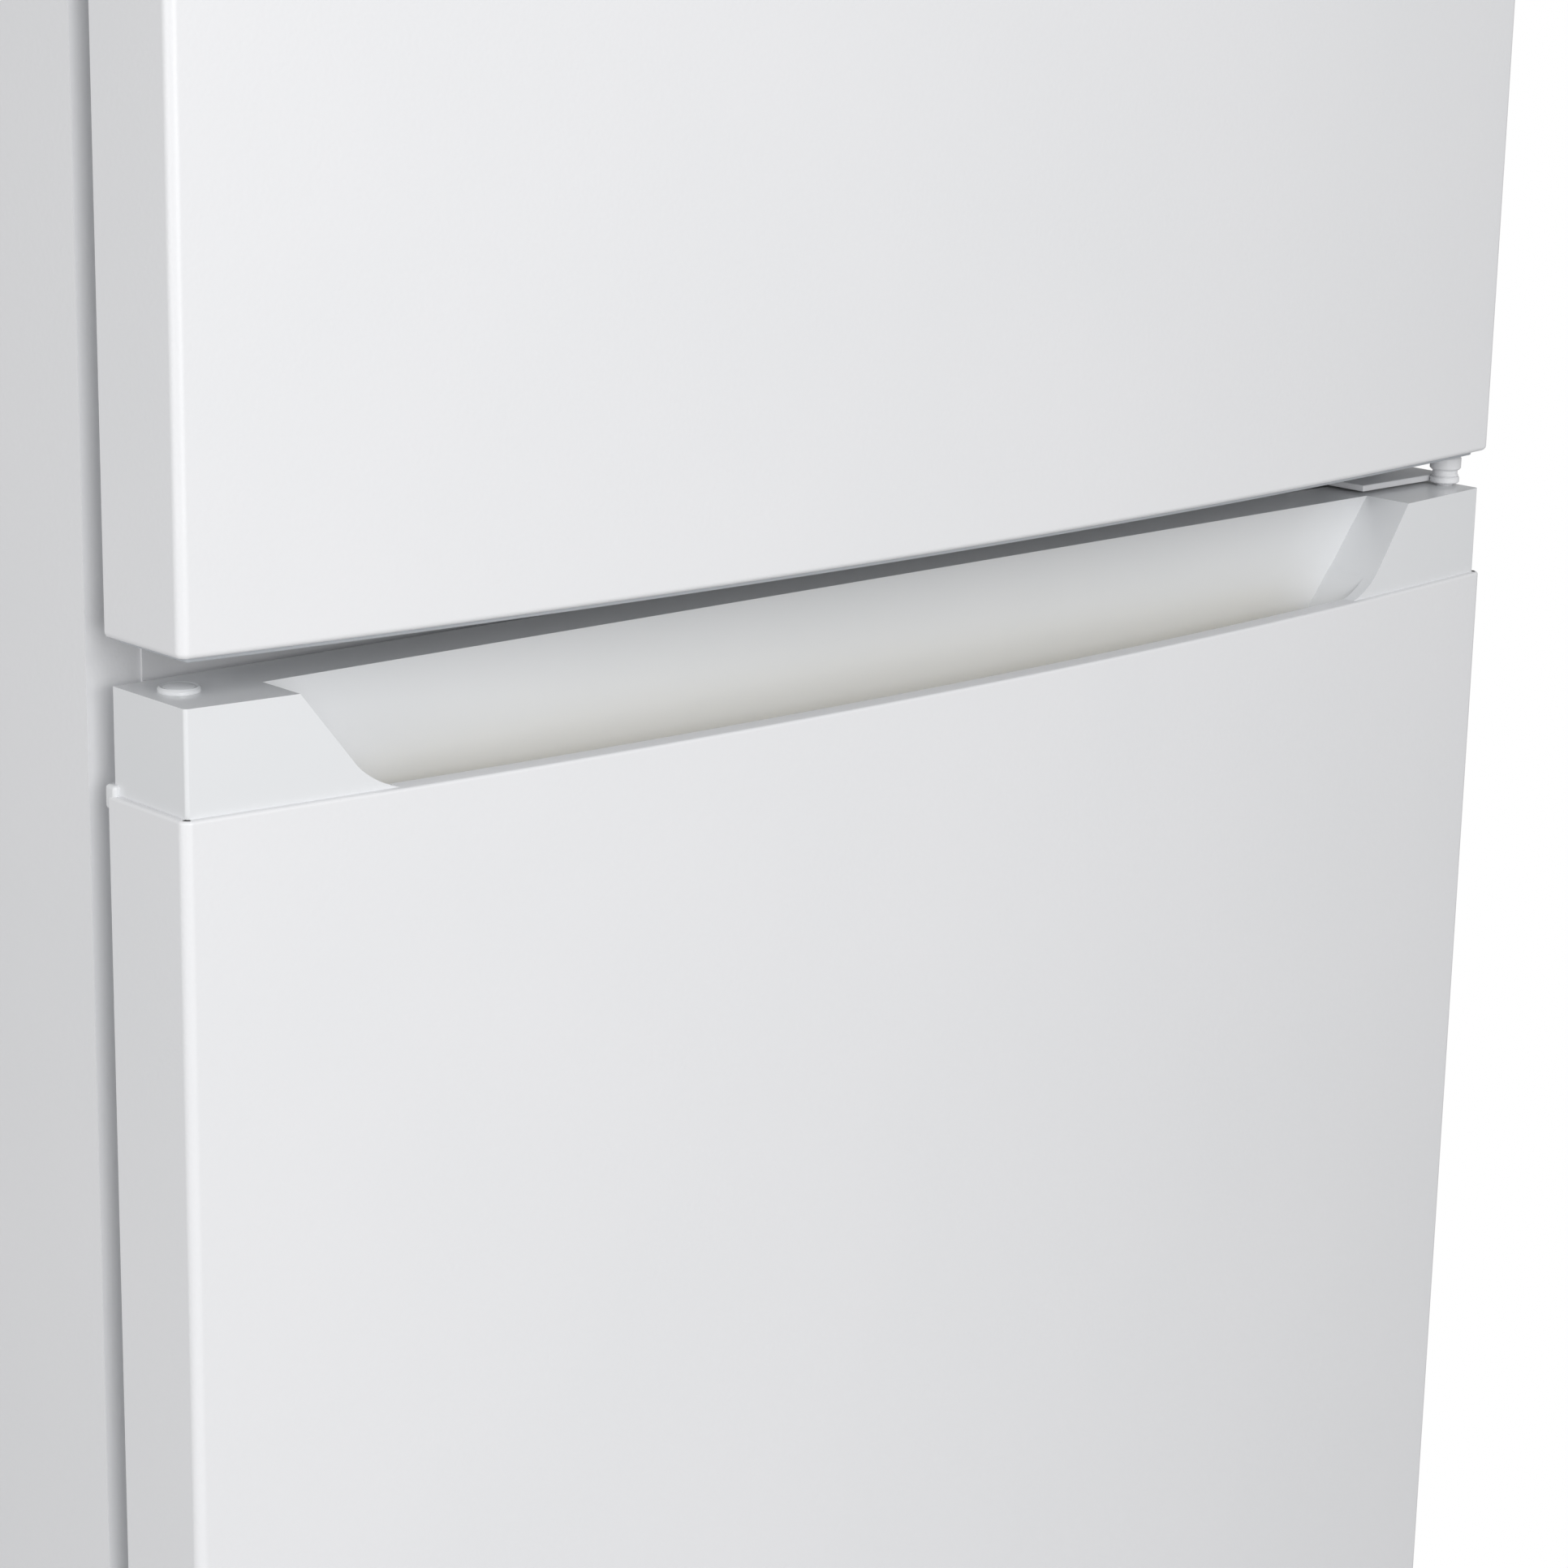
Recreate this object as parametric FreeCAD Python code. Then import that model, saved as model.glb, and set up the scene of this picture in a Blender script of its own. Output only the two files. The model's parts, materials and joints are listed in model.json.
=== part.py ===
import FreeCAD, Part
import math
import os

from FreeCAD import Vector

# Top freezer refrigerator with a bowed steel front.
# Frame: origin on the floor at the middle of the overall box, +Z up, doors face -Y, millimetres.

# Driving dimensions
WIDTH = 750.0            # across the doors
DEPTH = 770.0            # bow of the doors to the condenser's wires
CABINET_TOP = 1660.0
SEAM = 1100.0            # top edge of the lower door's steel panel
CAP_RISE = 41.0          # moulded handle cap above the seam
DOOR_GAP = 16.0          # between the cap and the freezer door
BOW = 22.0               # rise of the door front over its width
DOOR_THICKNESS = 51.0    # at the side, liner included
SHEET = 1.0              # steel panels
LINER = 2.0              # vacuum formed linings
FLOOR_GAP = 38.0         # under the cabinet's base
FRIDGE_DOOR_BOTTOM = 68.0

# Heights
CAP_TOP = SEAM + CAP_RISE
FREEZER_DOOR_BOTTOM = CAP_TOP + DOOR_GAP
FREEZER_DOOR_TOP = CABINET_TOP - 4.0
GAP_MIDDLE = CAP_TOP + DOOR_GAP / 2
END_CAP = 2.5            # visible thickness of a door's end caps

# Plan of the doors
HALF = WIDTH / 2
APEX_Y = -DEPTH / 2
CORNER_Y = APEX_Y + BOW
BOW_RADIUS = (HALF ** 2 + BOW ** 2) / (2 * BOW)
BOW_CENTRE_Y = APEX_Y + BOW_RADIUS
DOOR_REAR = CORNER_Y + DOOR_THICKNESS
PANEL_REAR = DOOR_REAR - LINER
EDGE_RADIUS = 4.0
LIP = 9.0                # turned-in edge of a door panel
SHOULDER = 1.5
CAP_INSET = 3.0

# Cabinet
CABINET_HALF = HALF - 1.0
CABINET_FRONT = DOOR_REAR + 13.0
CABINET_REAR = 345.0
FLANGE = 40.0
FLANGE_BOTTOM = 62.0
RAIL_HALF_WIDTH = 350.0
RAIL_HEIGHT = 78.0
RAIL_SHEET = 0.8

# Compartments
FREEZER_HALF = 325.0
FREEZER_FLOOR = 1190.0
FREEZER_CEILING = 1600.0
FREEZER_BACK = 255.0
FRIDGE_HALF = 330.0
FRIDGE_FLOOR = 110.0
FRIDGE_CEILING = 1110.0
FRIDGE_BACK = 298.0
STEP_FRONT = 120.0       # inside step over the machine compartment
STEP_TOP = 330.0
LINER_RADIUS = 20.0

# Hinge pins near the right corner, and the plugged spare hole at the left one
PIN_X = HALF - 9.0
PIN_Y = CORNER_Y + 18.5
PLUG_X = -HALF + 18.0
PLUG_Y = CORNER_Y + 28.5
PIN_RADIUS = 4.0
RUNNING = 0.05
PIN_DEPTH = 20.0
BOSS_RADIUS = 6.0

# Inner face of the doors
GASKET_HALF = 355.0
GASKET_WIDTH = 16.0
GASKET_INSET = 8.0
GASKET_CLEAR = 0.3
DIKE_HALF = 316.0
DIKE_WIDTH = 26.0
DIKE_DEPTH = 50.0
BIN_HALF = 288.0
BIN_WALL = 2.5
BIN_FRONT = DOOR_REAR + 4.0
BIN_BACK = -200.0
LEDGE = 6.0

# Shelves and drawers
SHELF_FRONT = -180.0
SHELF_THICKNESS = 12.0
GLASS = 4.0

# Rear and machine compartment
CONDENSER_TUBE = 3.0
WIRE = 0.8
CONDENSER_Y = DEPTH / 2 - CONDENSER_TUBE - 2 * WIRE + 0.4
CONDENSER_HALF = 262.0
CONDENSER_BOTTOM = 430.0
CONDENSER_PITCH = 85.0
CONDENSER_PASSES = 13
MACHINE_TOP = 300.0
MACHINE_FRONT = 150.0


def box(x_low, x_high, y_low, y_high, z_low, z_high):
    """Block between two corners."""
    size = (x_high - x_low, y_high - y_low, z_high - z_low)
    return Part.makeBox(*size, Vector(x_low, y_low, z_low))


def mirrored_pair(x_low, x_high, y_low, y_high, z_low, z_high):
    """A block and its twin on the other side of the middle plane."""
    return [
        box(x_low, x_high, y_low, y_high, z_low, z_high),
        box(-x_high, -x_low, y_low, y_high, z_low, z_high),
    ]


def cylinder(radius, height, base, direction=(0, 0, 1)):
    """Round bar from its base point along a direction."""
    return Part.makeCylinder(radius, height, Vector(*base), Vector(*direction))


def edges_along(shape, axis, keep=lambda point: True):
    """Straight edges parallel to an axis whose middle point is wanted."""
    found = []
    for edge in shape.Edges:
        if len(edge.Vertexes) < 2:
            continue
        run = edge.Vertexes[1].Point - edge.Vertexes[0].Point
        if run.Length > 0 and abs(run.dot(axis)) > 0.999 * run.Length and keep(edge.CenterOfMass):
            found.append(edge)
    return found


X_AXIS, Y_AXIS, Z_AXIS = Vector(1, 0, 0), Vector(0, 1, 0), Vector(0, 0, 1)


def rounded_box(radius, axis, *corners):
    """Block with the edges along one axis rounded."""
    block = box(*corners)
    return block.makeFillet(radius, edges_along(block, axis))


def union(first, *others):
    """One clean solid from touching or crossing solids."""
    return first.multiFuse(list(others)).removeSplitter()


def frame_plate(half_outer, half_inner, y_low, y_high, z_outer, z_inner):
    """Flat rectangular frame standing in the XZ plane."""
    outer = box(-half_outer, half_outer, y_low, y_high, *z_outer)
    return outer.cut(box(-half_inner, half_inner, y_low, y_high, *z_inner))


def export(name, shape):
    """Write one sub-part."""
    shape.exportStep("parts/" + name + ".step")


# ---- doors -------------------------------------------------------------------------------------

def door_prism(inset, z_low, z_high, rear=PANEL_REAR):
    """Bowed block of a door, drawn in by an inset at the front and the sides."""
    half = HALF - inset
    radius = BOW_RADIUS - inset
    corner_y = BOW_CENTRE_Y - math.sqrt(radius ** 2 - half ** 2)
    apex_y = BOW_CENTRE_Y - radius
    left_rear = Vector(-half, rear, z_low)
    left_front = Vector(-half, corner_y, z_low)
    right_front = Vector(half, corner_y, z_low)
    right_rear = Vector(half, rear, z_low)
    outline = Part.Wire([
        Part.LineSegment(left_rear, left_front).toShape(),
        Part.Arc(left_front, Vector(0, apex_y, z_low), right_front).toShape(),
        Part.LineSegment(right_front, right_rear).toShape(),
        Part.LineSegment(right_rear, left_rear).toShape(),
    ])
    block = Part.Face(outline).extrude(Vector(0, 0, z_high - z_low))
    front_edges = edges_along(block, Z_AXIS, lambda point: point.y < corner_y + 1)
    return block.makeFillet(max(EDGE_RADIUS - inset, 1.0), front_edges)


def outer_rim(block, z):
    """Front and side edges of a door block at one height."""
    return [
        edge for edge in block.Edges
        if abs(edge.BoundBox.ZMin - z) < 0.01
        and abs(edge.BoundBox.ZMax - z) < 0.01
        and edge.CenterOfMass.y < block.BoundBox.YMax - 1
    ]


def door_skin(z_low, z_high):
    """Steel front panel, wrapped round the sides and turned in at every edge."""
    outer = door_prism(0, z_low, z_high)
    outer = outer.makeFillet(SHOULDER, outer_rim(outer, z_high) + outer_rim(outer, z_low))
    hollow = door_prism(SHEET, z_low + SHEET, z_high - SHEET, PANEL_REAR - SHEET)
    rim = outer_rim(hollow, z_high - SHEET) + outer_rim(hollow, z_low + SHEET)
    hollow = hollow.makeFillet(SHOULDER - SHEET, rim)
    ends = door_prism(LIP, z_low - 1, z_high + 1, PANEL_REAR + 1)
    return outer.cut(hollow.fuse(ends))


def dike(z_low, z_high, wall, y_low):
    """Raised rim on a door's inner face; wall thins it to the foam inside."""
    outer = DIKE_HALF - wall
    inner = DIKE_HALF - DIKE_WIDTH + wall
    y_high = DOOR_REAR + DIKE_DEPTH - wall
    inset = DIKE_WIDTH - wall
    ring = frame_plate(
        outer, inner, y_low, y_high,
        (z_low + wall, z_high - wall), (z_low + inset, z_high - inset),
    )
    return ring


def door_liner(z_low, z_high, dike_low, dike_high, ledge_heights):
    """Inner lining with its rim and the ledges that carry the bins."""
    plate = box(-HALF + LIP + 2, HALF - LIP - 2, PANEL_REAR, DOOR_REAR, z_low + 4, z_high - 4)
    shell = union(plate, dike(dike_low, dike_high, 0, DOOR_REAR))
    shell = shell.cut(dike(dike_low, dike_high, LINER, PANEL_REAR))
    ledges = []
    for height in ledge_heights:
        ledges += mirrored_pair(
            BIN_HALF - 4, DIKE_HALF - DIKE_WIDTH,
            DOOR_REAR, DOOR_REAR + DIKE_DEPTH - 8, height - LEDGE, height,
        )
    return union(shell, *ledges)


def door_foam(z_low, z_high, dike_low, dike_high, caps):
    """Foam between the steel panel, the lining and the end caps."""
    core = door_prism(SHEET, z_low + SHEET, z_high - SHEET, PANEL_REAR - SHEET)
    rim = outer_rim(core, z_high - SHEET) + outer_rim(core, z_low + SHEET)
    core = core.makeFillet(SHOULDER - SHEET, rim)
    throat = door_prism(LIP, z_low, z_high)
    foam = union(core, throat, dike(dike_low, dike_high, LINER, PANEL_REAR))
    for cap in caps:
        foam = foam.cut(cap)
    return foam


def hinge_bore(z, inward, x=PIN_X, y=PIN_Y):
    """Blind hole for a hinge pin in the end of a door."""
    return cylinder(PIN_RADIUS + RUNNING, PIN_DEPTH, (x, y, z), (0, 0, inward))


def hinge_boss(z, inward, x=PIN_X, y=PIN_Y):
    """Solid post round a hinge pin's hole."""
    return cylinder(BOSS_RADIUS, PIN_DEPTH + 4, (x, y, z), (0, 0, inward))


def gasket(z_low, z_high):
    """Soft magnetic seal, a rounded frame round the inner face."""
    outer = (z_low + GASKET_INSET, z_high - GASKET_INSET)
    inner = (outer[0] + GASKET_WIDTH, outer[1] - GASKET_WIDTH)
    rear = CABINET_FRONT - RAIL_SHEET - GASKET_CLEAR
    ring = frame_plate(GASKET_HALF, GASKET_HALF - GASKET_WIDTH, DOOR_REAR, rear, outer, inner)
    groove = frame_plate(
        GASKET_HALF + 1, GASKET_HALF - 3, DOOR_REAR + 4, DOOR_REAR + 7,
        (outer[0] - 1, outer[1] + 1), (outer[0] + 3, outer[1] - 3),
    )
    return ring.cut(groove)


def end_cap(z_outer, z_seam):
    """Moulded cap on a door's end: a plate, a skirt inside the panel and the hinge boss."""
    inward = 1 if z_seam > z_outer else -1
    plate = door_prism(CAP_INSET, min(z_outer, z_seam), max(z_outer, z_seam), PANEL_REAR)
    skirt_end = z_seam + inward * 12
    skirt_range = (min(z_seam, skirt_end), max(z_seam, skirt_end))
    skirt = door_prism(LIP, *skirt_range)
    skirt = skirt.cut(door_prism(LIP + 2.5, *skirt_range, PANEL_REAR - 2.5))
    return union(plate, skirt, hinge_boss(z_outer, inward)).cut(hinge_bore(z_outer, inward))


# ---- handle pocket -----------------------------------------------------------------------------

POCKET_MIDDLE = -7.0     # the pocket sits a little nearer the opening side
POCKET_TOP_HALF = 318.0
POCKET_SLOPE_HALF = 294.0
POCKET_FLOOR_HALF = 269.5
POCKET_SLOPE_FOOT = 11.0
POCKET_BACK = CORNER_Y + 21.5
POCKET_DEPTH = 40.0      # below the seam, behind the panel's lip
POCKET_SLOPE = (POCKET_TOP_HALF - POCKET_SLOPE_HALF) / (CAP_RISE - POCKET_SLOPE_FOOT)
CAP_WALL = 3.0


def pocket_opening(grow):
    """Wide opening of the pocket above the seam, with slanted ends and rounded feet."""
    back = POCKET_BACK + grow
    front = APEX_Y - 5
    top = CAP_TOP + 5
    top_half = POCKET_TOP_HALF + grow + POCKET_SLOPE * 5
    foot_half = POCKET_SLOPE_HALF + grow
    floor_half = POCKET_FLOOR_HALF + grow
    sill = SEAM - grow
    foot = sill + POCKET_SLOPE_FOOT

    def end_arc(side):
        start = Vector(side * foot_half, front, foot)
        middle_x = floor_half + 0.55 * (foot_half - floor_half)
        middle = Vector(side * middle_x, front, sill + 0.2 * POCKET_SLOPE_FOOT)
        end = Vector(side * floor_half, front, sill)
        return start, middle, end

    left_start, left_middle, left_end = end_arc(-1)
    right_start, right_middle, right_end = end_arc(1)
    top_left = Vector(-top_half, front, top)
    top_right = Vector(top_half, front, top)
    outline = Part.Wire([
        Part.LineSegment(top_left, left_start).toShape(),
        Part.Arc(left_start, left_middle, left_end).toShape(),
        Part.LineSegment(left_end, right_end).toShape(),
        Part.Arc(right_end, right_middle, right_start).toShape(),
        Part.LineSegment(right_start, top_right).toShape(),
        Part.LineSegment(top_right, top_left).toShape(),
    ])
    opening = Part.Face(outline).extrude(Vector(0, back - front, 0))
    return opening.translated(Vector(POCKET_MIDDLE, 0, 0))


def finger_slot(grow):
    """Part of the pocket behind the panel's lip; the slanted ends run on down into it."""
    front = APEX_Y - 5
    back = POCKET_BACK + grow
    low = SEAM - POCKET_DEPTH - grow
    high = SEAM + POCKET_SLOPE_FOOT
    high_half = POCKET_SLOPE_HALF + grow
    low_half = high_half - POCKET_SLOPE * (high - low)
    outline = Part.makePolygon([
        Vector(POCKET_MIDDLE - low_half, front, low),
        Vector(POCKET_MIDDLE + low_half, front, low),
        Vector(POCKET_MIDDLE + high_half, front, high),
        Vector(POCKET_MIDDLE - high_half, front, high),
        Vector(POCKET_MIDDLE - low_half, front, low),
    ])
    slot = Part.Face(outline).extrude(Vector(0, back - front, 0))
    corners = edges_along(slot, Y_AXIS, lambda point: point.z < low + 1)
    slot = slot.makeFillet(16.0, corners)
    return slot.common(door_prism(LIP - grow, low, high + 1))


def pocket(grow=0.0):
    """Whole handle pocket, or its walls' outside when grown."""
    return pocket_opening(grow).fuse(finger_slot(grow))


def handle_cap():
    """Moulded top cap of the lower door with the pocket handle."""
    block = door_prism(CAP_INSET, SEAM, CAP_TOP)
    block = block.makeFillet(2.5, outer_rim(block, CAP_TOP))
    skirt = door_prism(LIP, SEAM - 15, SEAM)
    trough = finger_slot(CAP_WALL).common(door_prism(LIP, 0, SEAM))
    inside = CAP_INSET + CAP_WALL
    hollow = door_prism(inside, SEAM + CAP_WALL, CAP_TOP - CAP_WALL, PANEL_REAR - CAP_WALL)
    throat = door_prism(LIP + CAP_WALL, SEAM - 15, SEAM + CAP_WALL, PANEL_REAR - CAP_WALL)
    hollow = hollow.fuse(throat).cut(pocket(CAP_WALL))
    pin_boss = hinge_boss(CAP_TOP, -1).common(door_prism(inside, 0, CAP_TOP))
    spare_boss = hinge_boss(CAP_TOP, -1, PLUG_X, PLUG_Y)
    cap = union(block, skirt).cut(hollow)
    cap = union(cap, trough, pin_boss, spare_boss).cut(pocket())
    return cap.cut(cap_bores())


def cap_bores():
    """The pin's hole at the right of the handle cap and the spare one at the left."""
    return Part.makeCompound([
        hinge_bore(CAP_TOP, -1),
        hinge_bore(CAP_TOP, -1, PLUG_X, PLUG_Y),
    ])


def cap_foam(cap):
    """Foam inside the handle cap."""
    inside = CAP_INSET + CAP_WALL
    hollow = door_prism(inside, SEAM + CAP_WALL, CAP_TOP - CAP_WALL, PANEL_REAR - CAP_WALL)
    throat = door_prism(LIP + CAP_WALL, SEAM - 15, SEAM + CAP_WALL, PANEL_REAR - CAP_WALL)
    return hollow.fuse(throat).cut(pocket(CAP_WALL)).cut(cap).cut(cap_bores())


def hinge_hole_plug():
    """Domed plug in the unused hinge hole of the cap."""
    head_radius = 8.0
    head = cylinder(head_radius, 2.6, (PLUG_X, PLUG_Y, CAP_TOP))
    head = head.makeFillet(1.2, [edge for edge in head.Edges if edge.CenterOfMass.z > CAP_TOP + 2])
    stem = cylinder(PIN_RADIUS, 12, (PLUG_X, PLUG_Y, CAP_TOP), (0, 0, -1))
    return union(head, stem)


# ---- bins --------------------------------------------------------------------------------------

def bin_tub(z_low, front_top, back_top):
    """Door bin: a tub with a low rail at the room side and higher sides."""
    outer = rounded_box(12, Z_AXIS, -BIN_HALF, BIN_HALF, BIN_FRONT, BIN_BACK, z_low, back_top)
    inner = rounded_box(
        12 - BIN_WALL, Z_AXIS, -BIN_HALF + BIN_WALL, BIN_HALF - BIN_WALL,
        BIN_FRONT + BIN_WALL, BIN_BACK - BIN_WALL, z_low + BIN_WALL, back_top + 1,
    )
    tub = outer.cut(inner)
    return tub.cut(box(-WIDTH, WIDTH, BIN_BACK - 40, BIN_BACK + 1, front_top, back_top + 1))


LID_PIVOT_Y = BIN_FRONT + 8
DAIRY_BOTTOM = 800.0
DAIRY_FRONT = DAIRY_BOTTOM + 55
LID_PIVOT_Z = DAIRY_BOTTOM + 92


def dairy_bin():
    """Butter compartment with tall ends that carry the lid's pivots."""
    tub = bin_tub(DAIRY_BOTTOM, DAIRY_FRONT, DAIRY_BOTTOM + 60)
    ears = []
    for side in (-1, 1):
        ear = box(*sorted((side * BIN_HALF, side * (BIN_HALF - BIN_WALL))),
                  BIN_FRONT + 12, BIN_FRONT + 60, DAIRY_BOTTOM + 50, LID_PIVOT_Z + 6)
        arm = box(*sorted((side * BIN_HALF, side * (BIN_HALF - BIN_WALL))),
                  BIN_FRONT + 1, BIN_FRONT + 20, LID_PIVOT_Z - 7, LID_PIVOT_Z + 7)
        pin = cylinder(3, 8, (side * BIN_HALF, LID_PIVOT_Y, LID_PIVOT_Z), (-side, 0, 0))
        ears += [ear, arm, pin]
    return union(tub, *ears)


def dairy_lid():
    """Clear lid over the butter compartment, turning about its rear edge."""
    half = BIN_HALF - BIN_WALL - 0.8
    top = box(-half, half, LID_PIVOT_Y, BIN_BACK, LID_PIVOT_Z + 4, LID_PIVOT_Z + 6.5)
    front = box(-half, half, BIN_BACK - 2.5, BIN_BACK, DAIRY_FRONT + 1, LID_PIVOT_Z + 6.5)
    hub = cylinder(6.5, 2 * half, (-half, LID_PIVOT_Y, LID_PIVOT_Z), (1, 0, 0))
    lid = union(top, front, hub)
    bore = cylinder(3 + RUNNING, 2 * half + 2, (-half - 1, LID_PIVOT_Y, LID_PIVOT_Z), (1, 0, 0))
    return lid.cut(bore)


# ---- cabinet -----------------------------------------------------------------------------------

def cabinet_shell():
    """Painted steel wrapper: top, both sides and the turned-in front flange."""
    outer = box(-CABINET_HALF, CABINET_HALF, CABINET_FRONT, CABINET_REAR, FLOOR_GAP, CABINET_TOP)
    outer = outer.makeFillet(3, edges_along(outer, Y_AXIS, lambda point: point.z > FLOOR_GAP + 1))
    half = CABINET_HALF - SHEET
    inner = box(-half, half, CABINET_FRONT, CABINET_REAR + 1, FLOOR_GAP - 1, CABINET_TOP - SHEET)
    inner = inner.makeFillet(2, edges_along(inner, Y_AXIS, lambda point: point.z > FLOOR_GAP + 1))
    flange = frame_plate(
        CABINET_HALF - SHEET, CABINET_HALF - FLANGE, CABINET_FRONT, CABINET_FRONT + SHEET,
        (FLANGE_BOTTOM, CABINET_TOP - SHEET), (FLANGE_BOTTOM + 42, CABINET_TOP - FLANGE),
    )
    return union(outer.cut(inner), flange.common(inner))


def rear_panel():
    """Flat steel back above the machine compartment."""
    half = CABINET_HALF - SHEET
    panel = box(-half, half, CABINET_REAR - 2, CABINET_REAR - 1, MACHINE_TOP, CABINET_TOP - SHEET)
    return panel.makeFillet(2, edges_along(panel, Y_AXIS, lambda point: point.z > CABINET_TOP - 10))


def freezer_volume(wall, front):
    """Freezer compartment, grown by its lining's wall."""
    block = box(
        -FREEZER_HALF - wall, FREEZER_HALF + wall, front, FREEZER_BACK + wall,
        FREEZER_FLOOR - wall, FREEZER_CEILING + wall,
    )
    long_edges = edges_along(block, Y_AXIS)
    return block.makeFillet(LINER_RADIUS + wall, long_edges)


def fridge_volume(wall, front):
    """Fresh food compartment with the step over the machine compartment."""
    block = box(
        -FRIDGE_HALF - wall, FRIDGE_HALF + wall, front, FRIDGE_BACK + wall,
        FRIDGE_FLOOR - wall, FRIDGE_CEILING + wall,
    )
    block = block.makeFillet(LINER_RADIUS + wall, edges_along(block, Y_AXIS))
    step = box(-WIDTH, WIDTH, STEP_FRONT + wall, WIDTH, 0, STEP_TOP - wall)
    return block.cut(step)


def liner_flange(half, z_outer, z_inner):
    """Front rim of a lining, inside the shell's flange."""
    return frame_plate(
        CABINET_HALF - FLANGE, half, CABINET_FRONT, CABINET_FRONT + LINER, z_outer, z_inner,
    )


DUCT_PORT = (-50, 50, FREEZER_BACK - 12, FREEZER_BACK - 2)
RIB = 6.0
FREEZER_SHELF_Z = 1390.0
UPPER_SHELF_Z = 800.0
LOWER_SHELF_Z = 560.0
CRISPER_COVER_Z = 312.0


def shelf_ribs(half, height, rear):
    """Pair of ribs on the side walls under a shelf."""
    return mirrored_pair(half - 10, half + 1, SHELF_FRONT + 10, rear, height - RIB, height)


def freezer_liner():
    """White lining of the freezer."""
    front = CABINET_FRONT + LINER
    shell = freezer_volume(LINER, front)
    rim_z = (GAP_MIDDLE + 0.5, CABINET_TOP - FLANGE)
    rim = liner_flange(FREEZER_HALF, rim_z, (FREEZER_FLOOR, FREEZER_CEILING))
    shell = union(shell, rim).cut(freezer_volume(0, CABINET_FRONT - 1))
    shell = union(shell, *shelf_ribs(FREEZER_HALF, FREEZER_SHELF_Z, 180))
    return shell.cut(box(*DUCT_PORT, FREEZER_FLOOR - 10, FREEZER_FLOOR + 10))


def fridge_liner():
    """White lining of the fresh food compartment."""
    front = CABINET_FRONT + LINER
    shell = fridge_volume(LINER, front)
    rim_z = (FLANGE_BOTTOM + 42, GAP_MIDDLE - 0.5)
    rim = liner_flange(FRIDGE_HALF, rim_z, (FRIDGE_FLOOR, FRIDGE_CEILING))
    shell = union(shell, rim).cut(fridge_volume(0, CABINET_FRONT - 1))
    ribs = shelf_ribs(FRIDGE_HALF, UPPER_SHELF_Z, 220)
    ribs += shelf_ribs(FRIDGE_HALF, LOWER_SHELF_Z, 220)
    ribs += shelf_ribs(FRIDGE_HALF, CRISPER_COVER_Z, 100)
    shell = union(shell, *ribs)
    return shell.cut(box(*DUCT_PORT, FRIDGE_CEILING - 10, FRIDGE_CEILING + 10))


def cabinet_foam(others):
    """Insulation that fills the walls and the divider."""
    half = CABINET_HALF - SHEET
    block = box(
        -half, half, CABINET_FRONT + SHEET, CABINET_REAR - 2, FLOOR_GAP + 1.5, CABINET_TOP - SHEET,
    )
    block = block.makeFillet(2, edges_along(block, Y_AXIS, lambda point: point.z > CABINET_TOP - 10))
    front = CABINET_FRONT - 1
    block = block.cut(freezer_volume(LINER, front)).cut(fridge_volume(LINER, front))
    block = block.cut(box(-WIDTH, WIDTH, MACHINE_FRONT, WIDTH, 0, MACHINE_TOP))
    block = block.cut(box(*DUCT_PORT, FRIDGE_CEILING - 10, FREEZER_FLOOR + 10))
    for other in others:
        block = block.cut(other)
    return block


def center_rail():
    """Steel cover on the divider between the two compartments."""
    half_height = RAIL_HEIGHT / 2
    return box(
        -RAIL_HALF_WIDTH, RAIL_HALF_WIDTH, CABINET_FRONT - RAIL_SHEET, CABINET_FRONT,
        GAP_MIDDLE - half_height, GAP_MIDDLE + half_height,
    )


FOOT_X = 330.0
FOOT_Y = -262.0
FOOT_STEM = 5.0
FOOT_PAD = 18.0
ROLLER_X = 345.0
ROLLER_Y = 300.0
ROLLER_RADIUS = 17.0
AXLE = 3.0


def base_pan():
    """Steel pan under the cabinet with a front upstand and threaded bosses for the feet."""
    half = CABINET_HALF - SHEET
    pan = box(-half, half, CABINET_FRONT + SHEET, CABINET_REAR - 2, FLOOR_GAP, FLOOR_GAP + 1.5)
    upstand = box(
        -half, half, CABINET_FRONT + SHEET, CABINET_FRONT + SHEET + 1.5, FLOOR_GAP, FLANGE_BOTTOM,
    )
    pan = union(pan, upstand)
    for side in (-1, 1):
        boss = cylinder(9, 16, (side * FOOT_X, FOOT_Y, FLOOR_GAP - 16))
        pan = union(pan, boss)
        pan = pan.cut(cylinder(FOOT_STEM + RUNNING, 20, (side * FOOT_X, FOOT_Y, FLOOR_GAP - 18)))
    return pan


def foot(side):
    """Screw-down foot, a pad on a stem."""
    pad = cylinder(FOOT_PAD, 8, (side * FOOT_X, FOOT_Y, 0))
    pad = pad.makeFillet(2, [edge for edge in pad.Edges if edge.CenterOfMass.z > 7])
    stem = cylinder(FOOT_STEM, FLOOR_GAP - 9, (side * FOOT_X, FOOT_Y, 8))
    return union(pad, stem)


def roller_brackets():
    """Two forks with axles under the rear corners."""
    solids = []
    for side in (-1, 1):
        cheeks = []
        for offset in (-12.5, 11):
            x_low = side * ROLLER_X + offset
            cheeks.append(box(x_low, x_low + 1.5, ROLLER_Y - 14, ROLLER_Y + 14, 10, FLOOR_GAP))
        axle = cylinder(AXLE, 25, (side * ROLLER_X - 12.5, ROLLER_Y, ROLLER_RADIUS), (1, 0, 0))
        bridge = box(
            side * ROLLER_X - 12.5, side * ROLLER_X + 12.5,
            ROLLER_Y - 14, ROLLER_Y + 14, FLOOR_GAP - 2, FLOOR_GAP,
        )
        solids.append(union(bridge, axle, *cheeks))
    return Part.makeCompound(solids)


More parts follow.
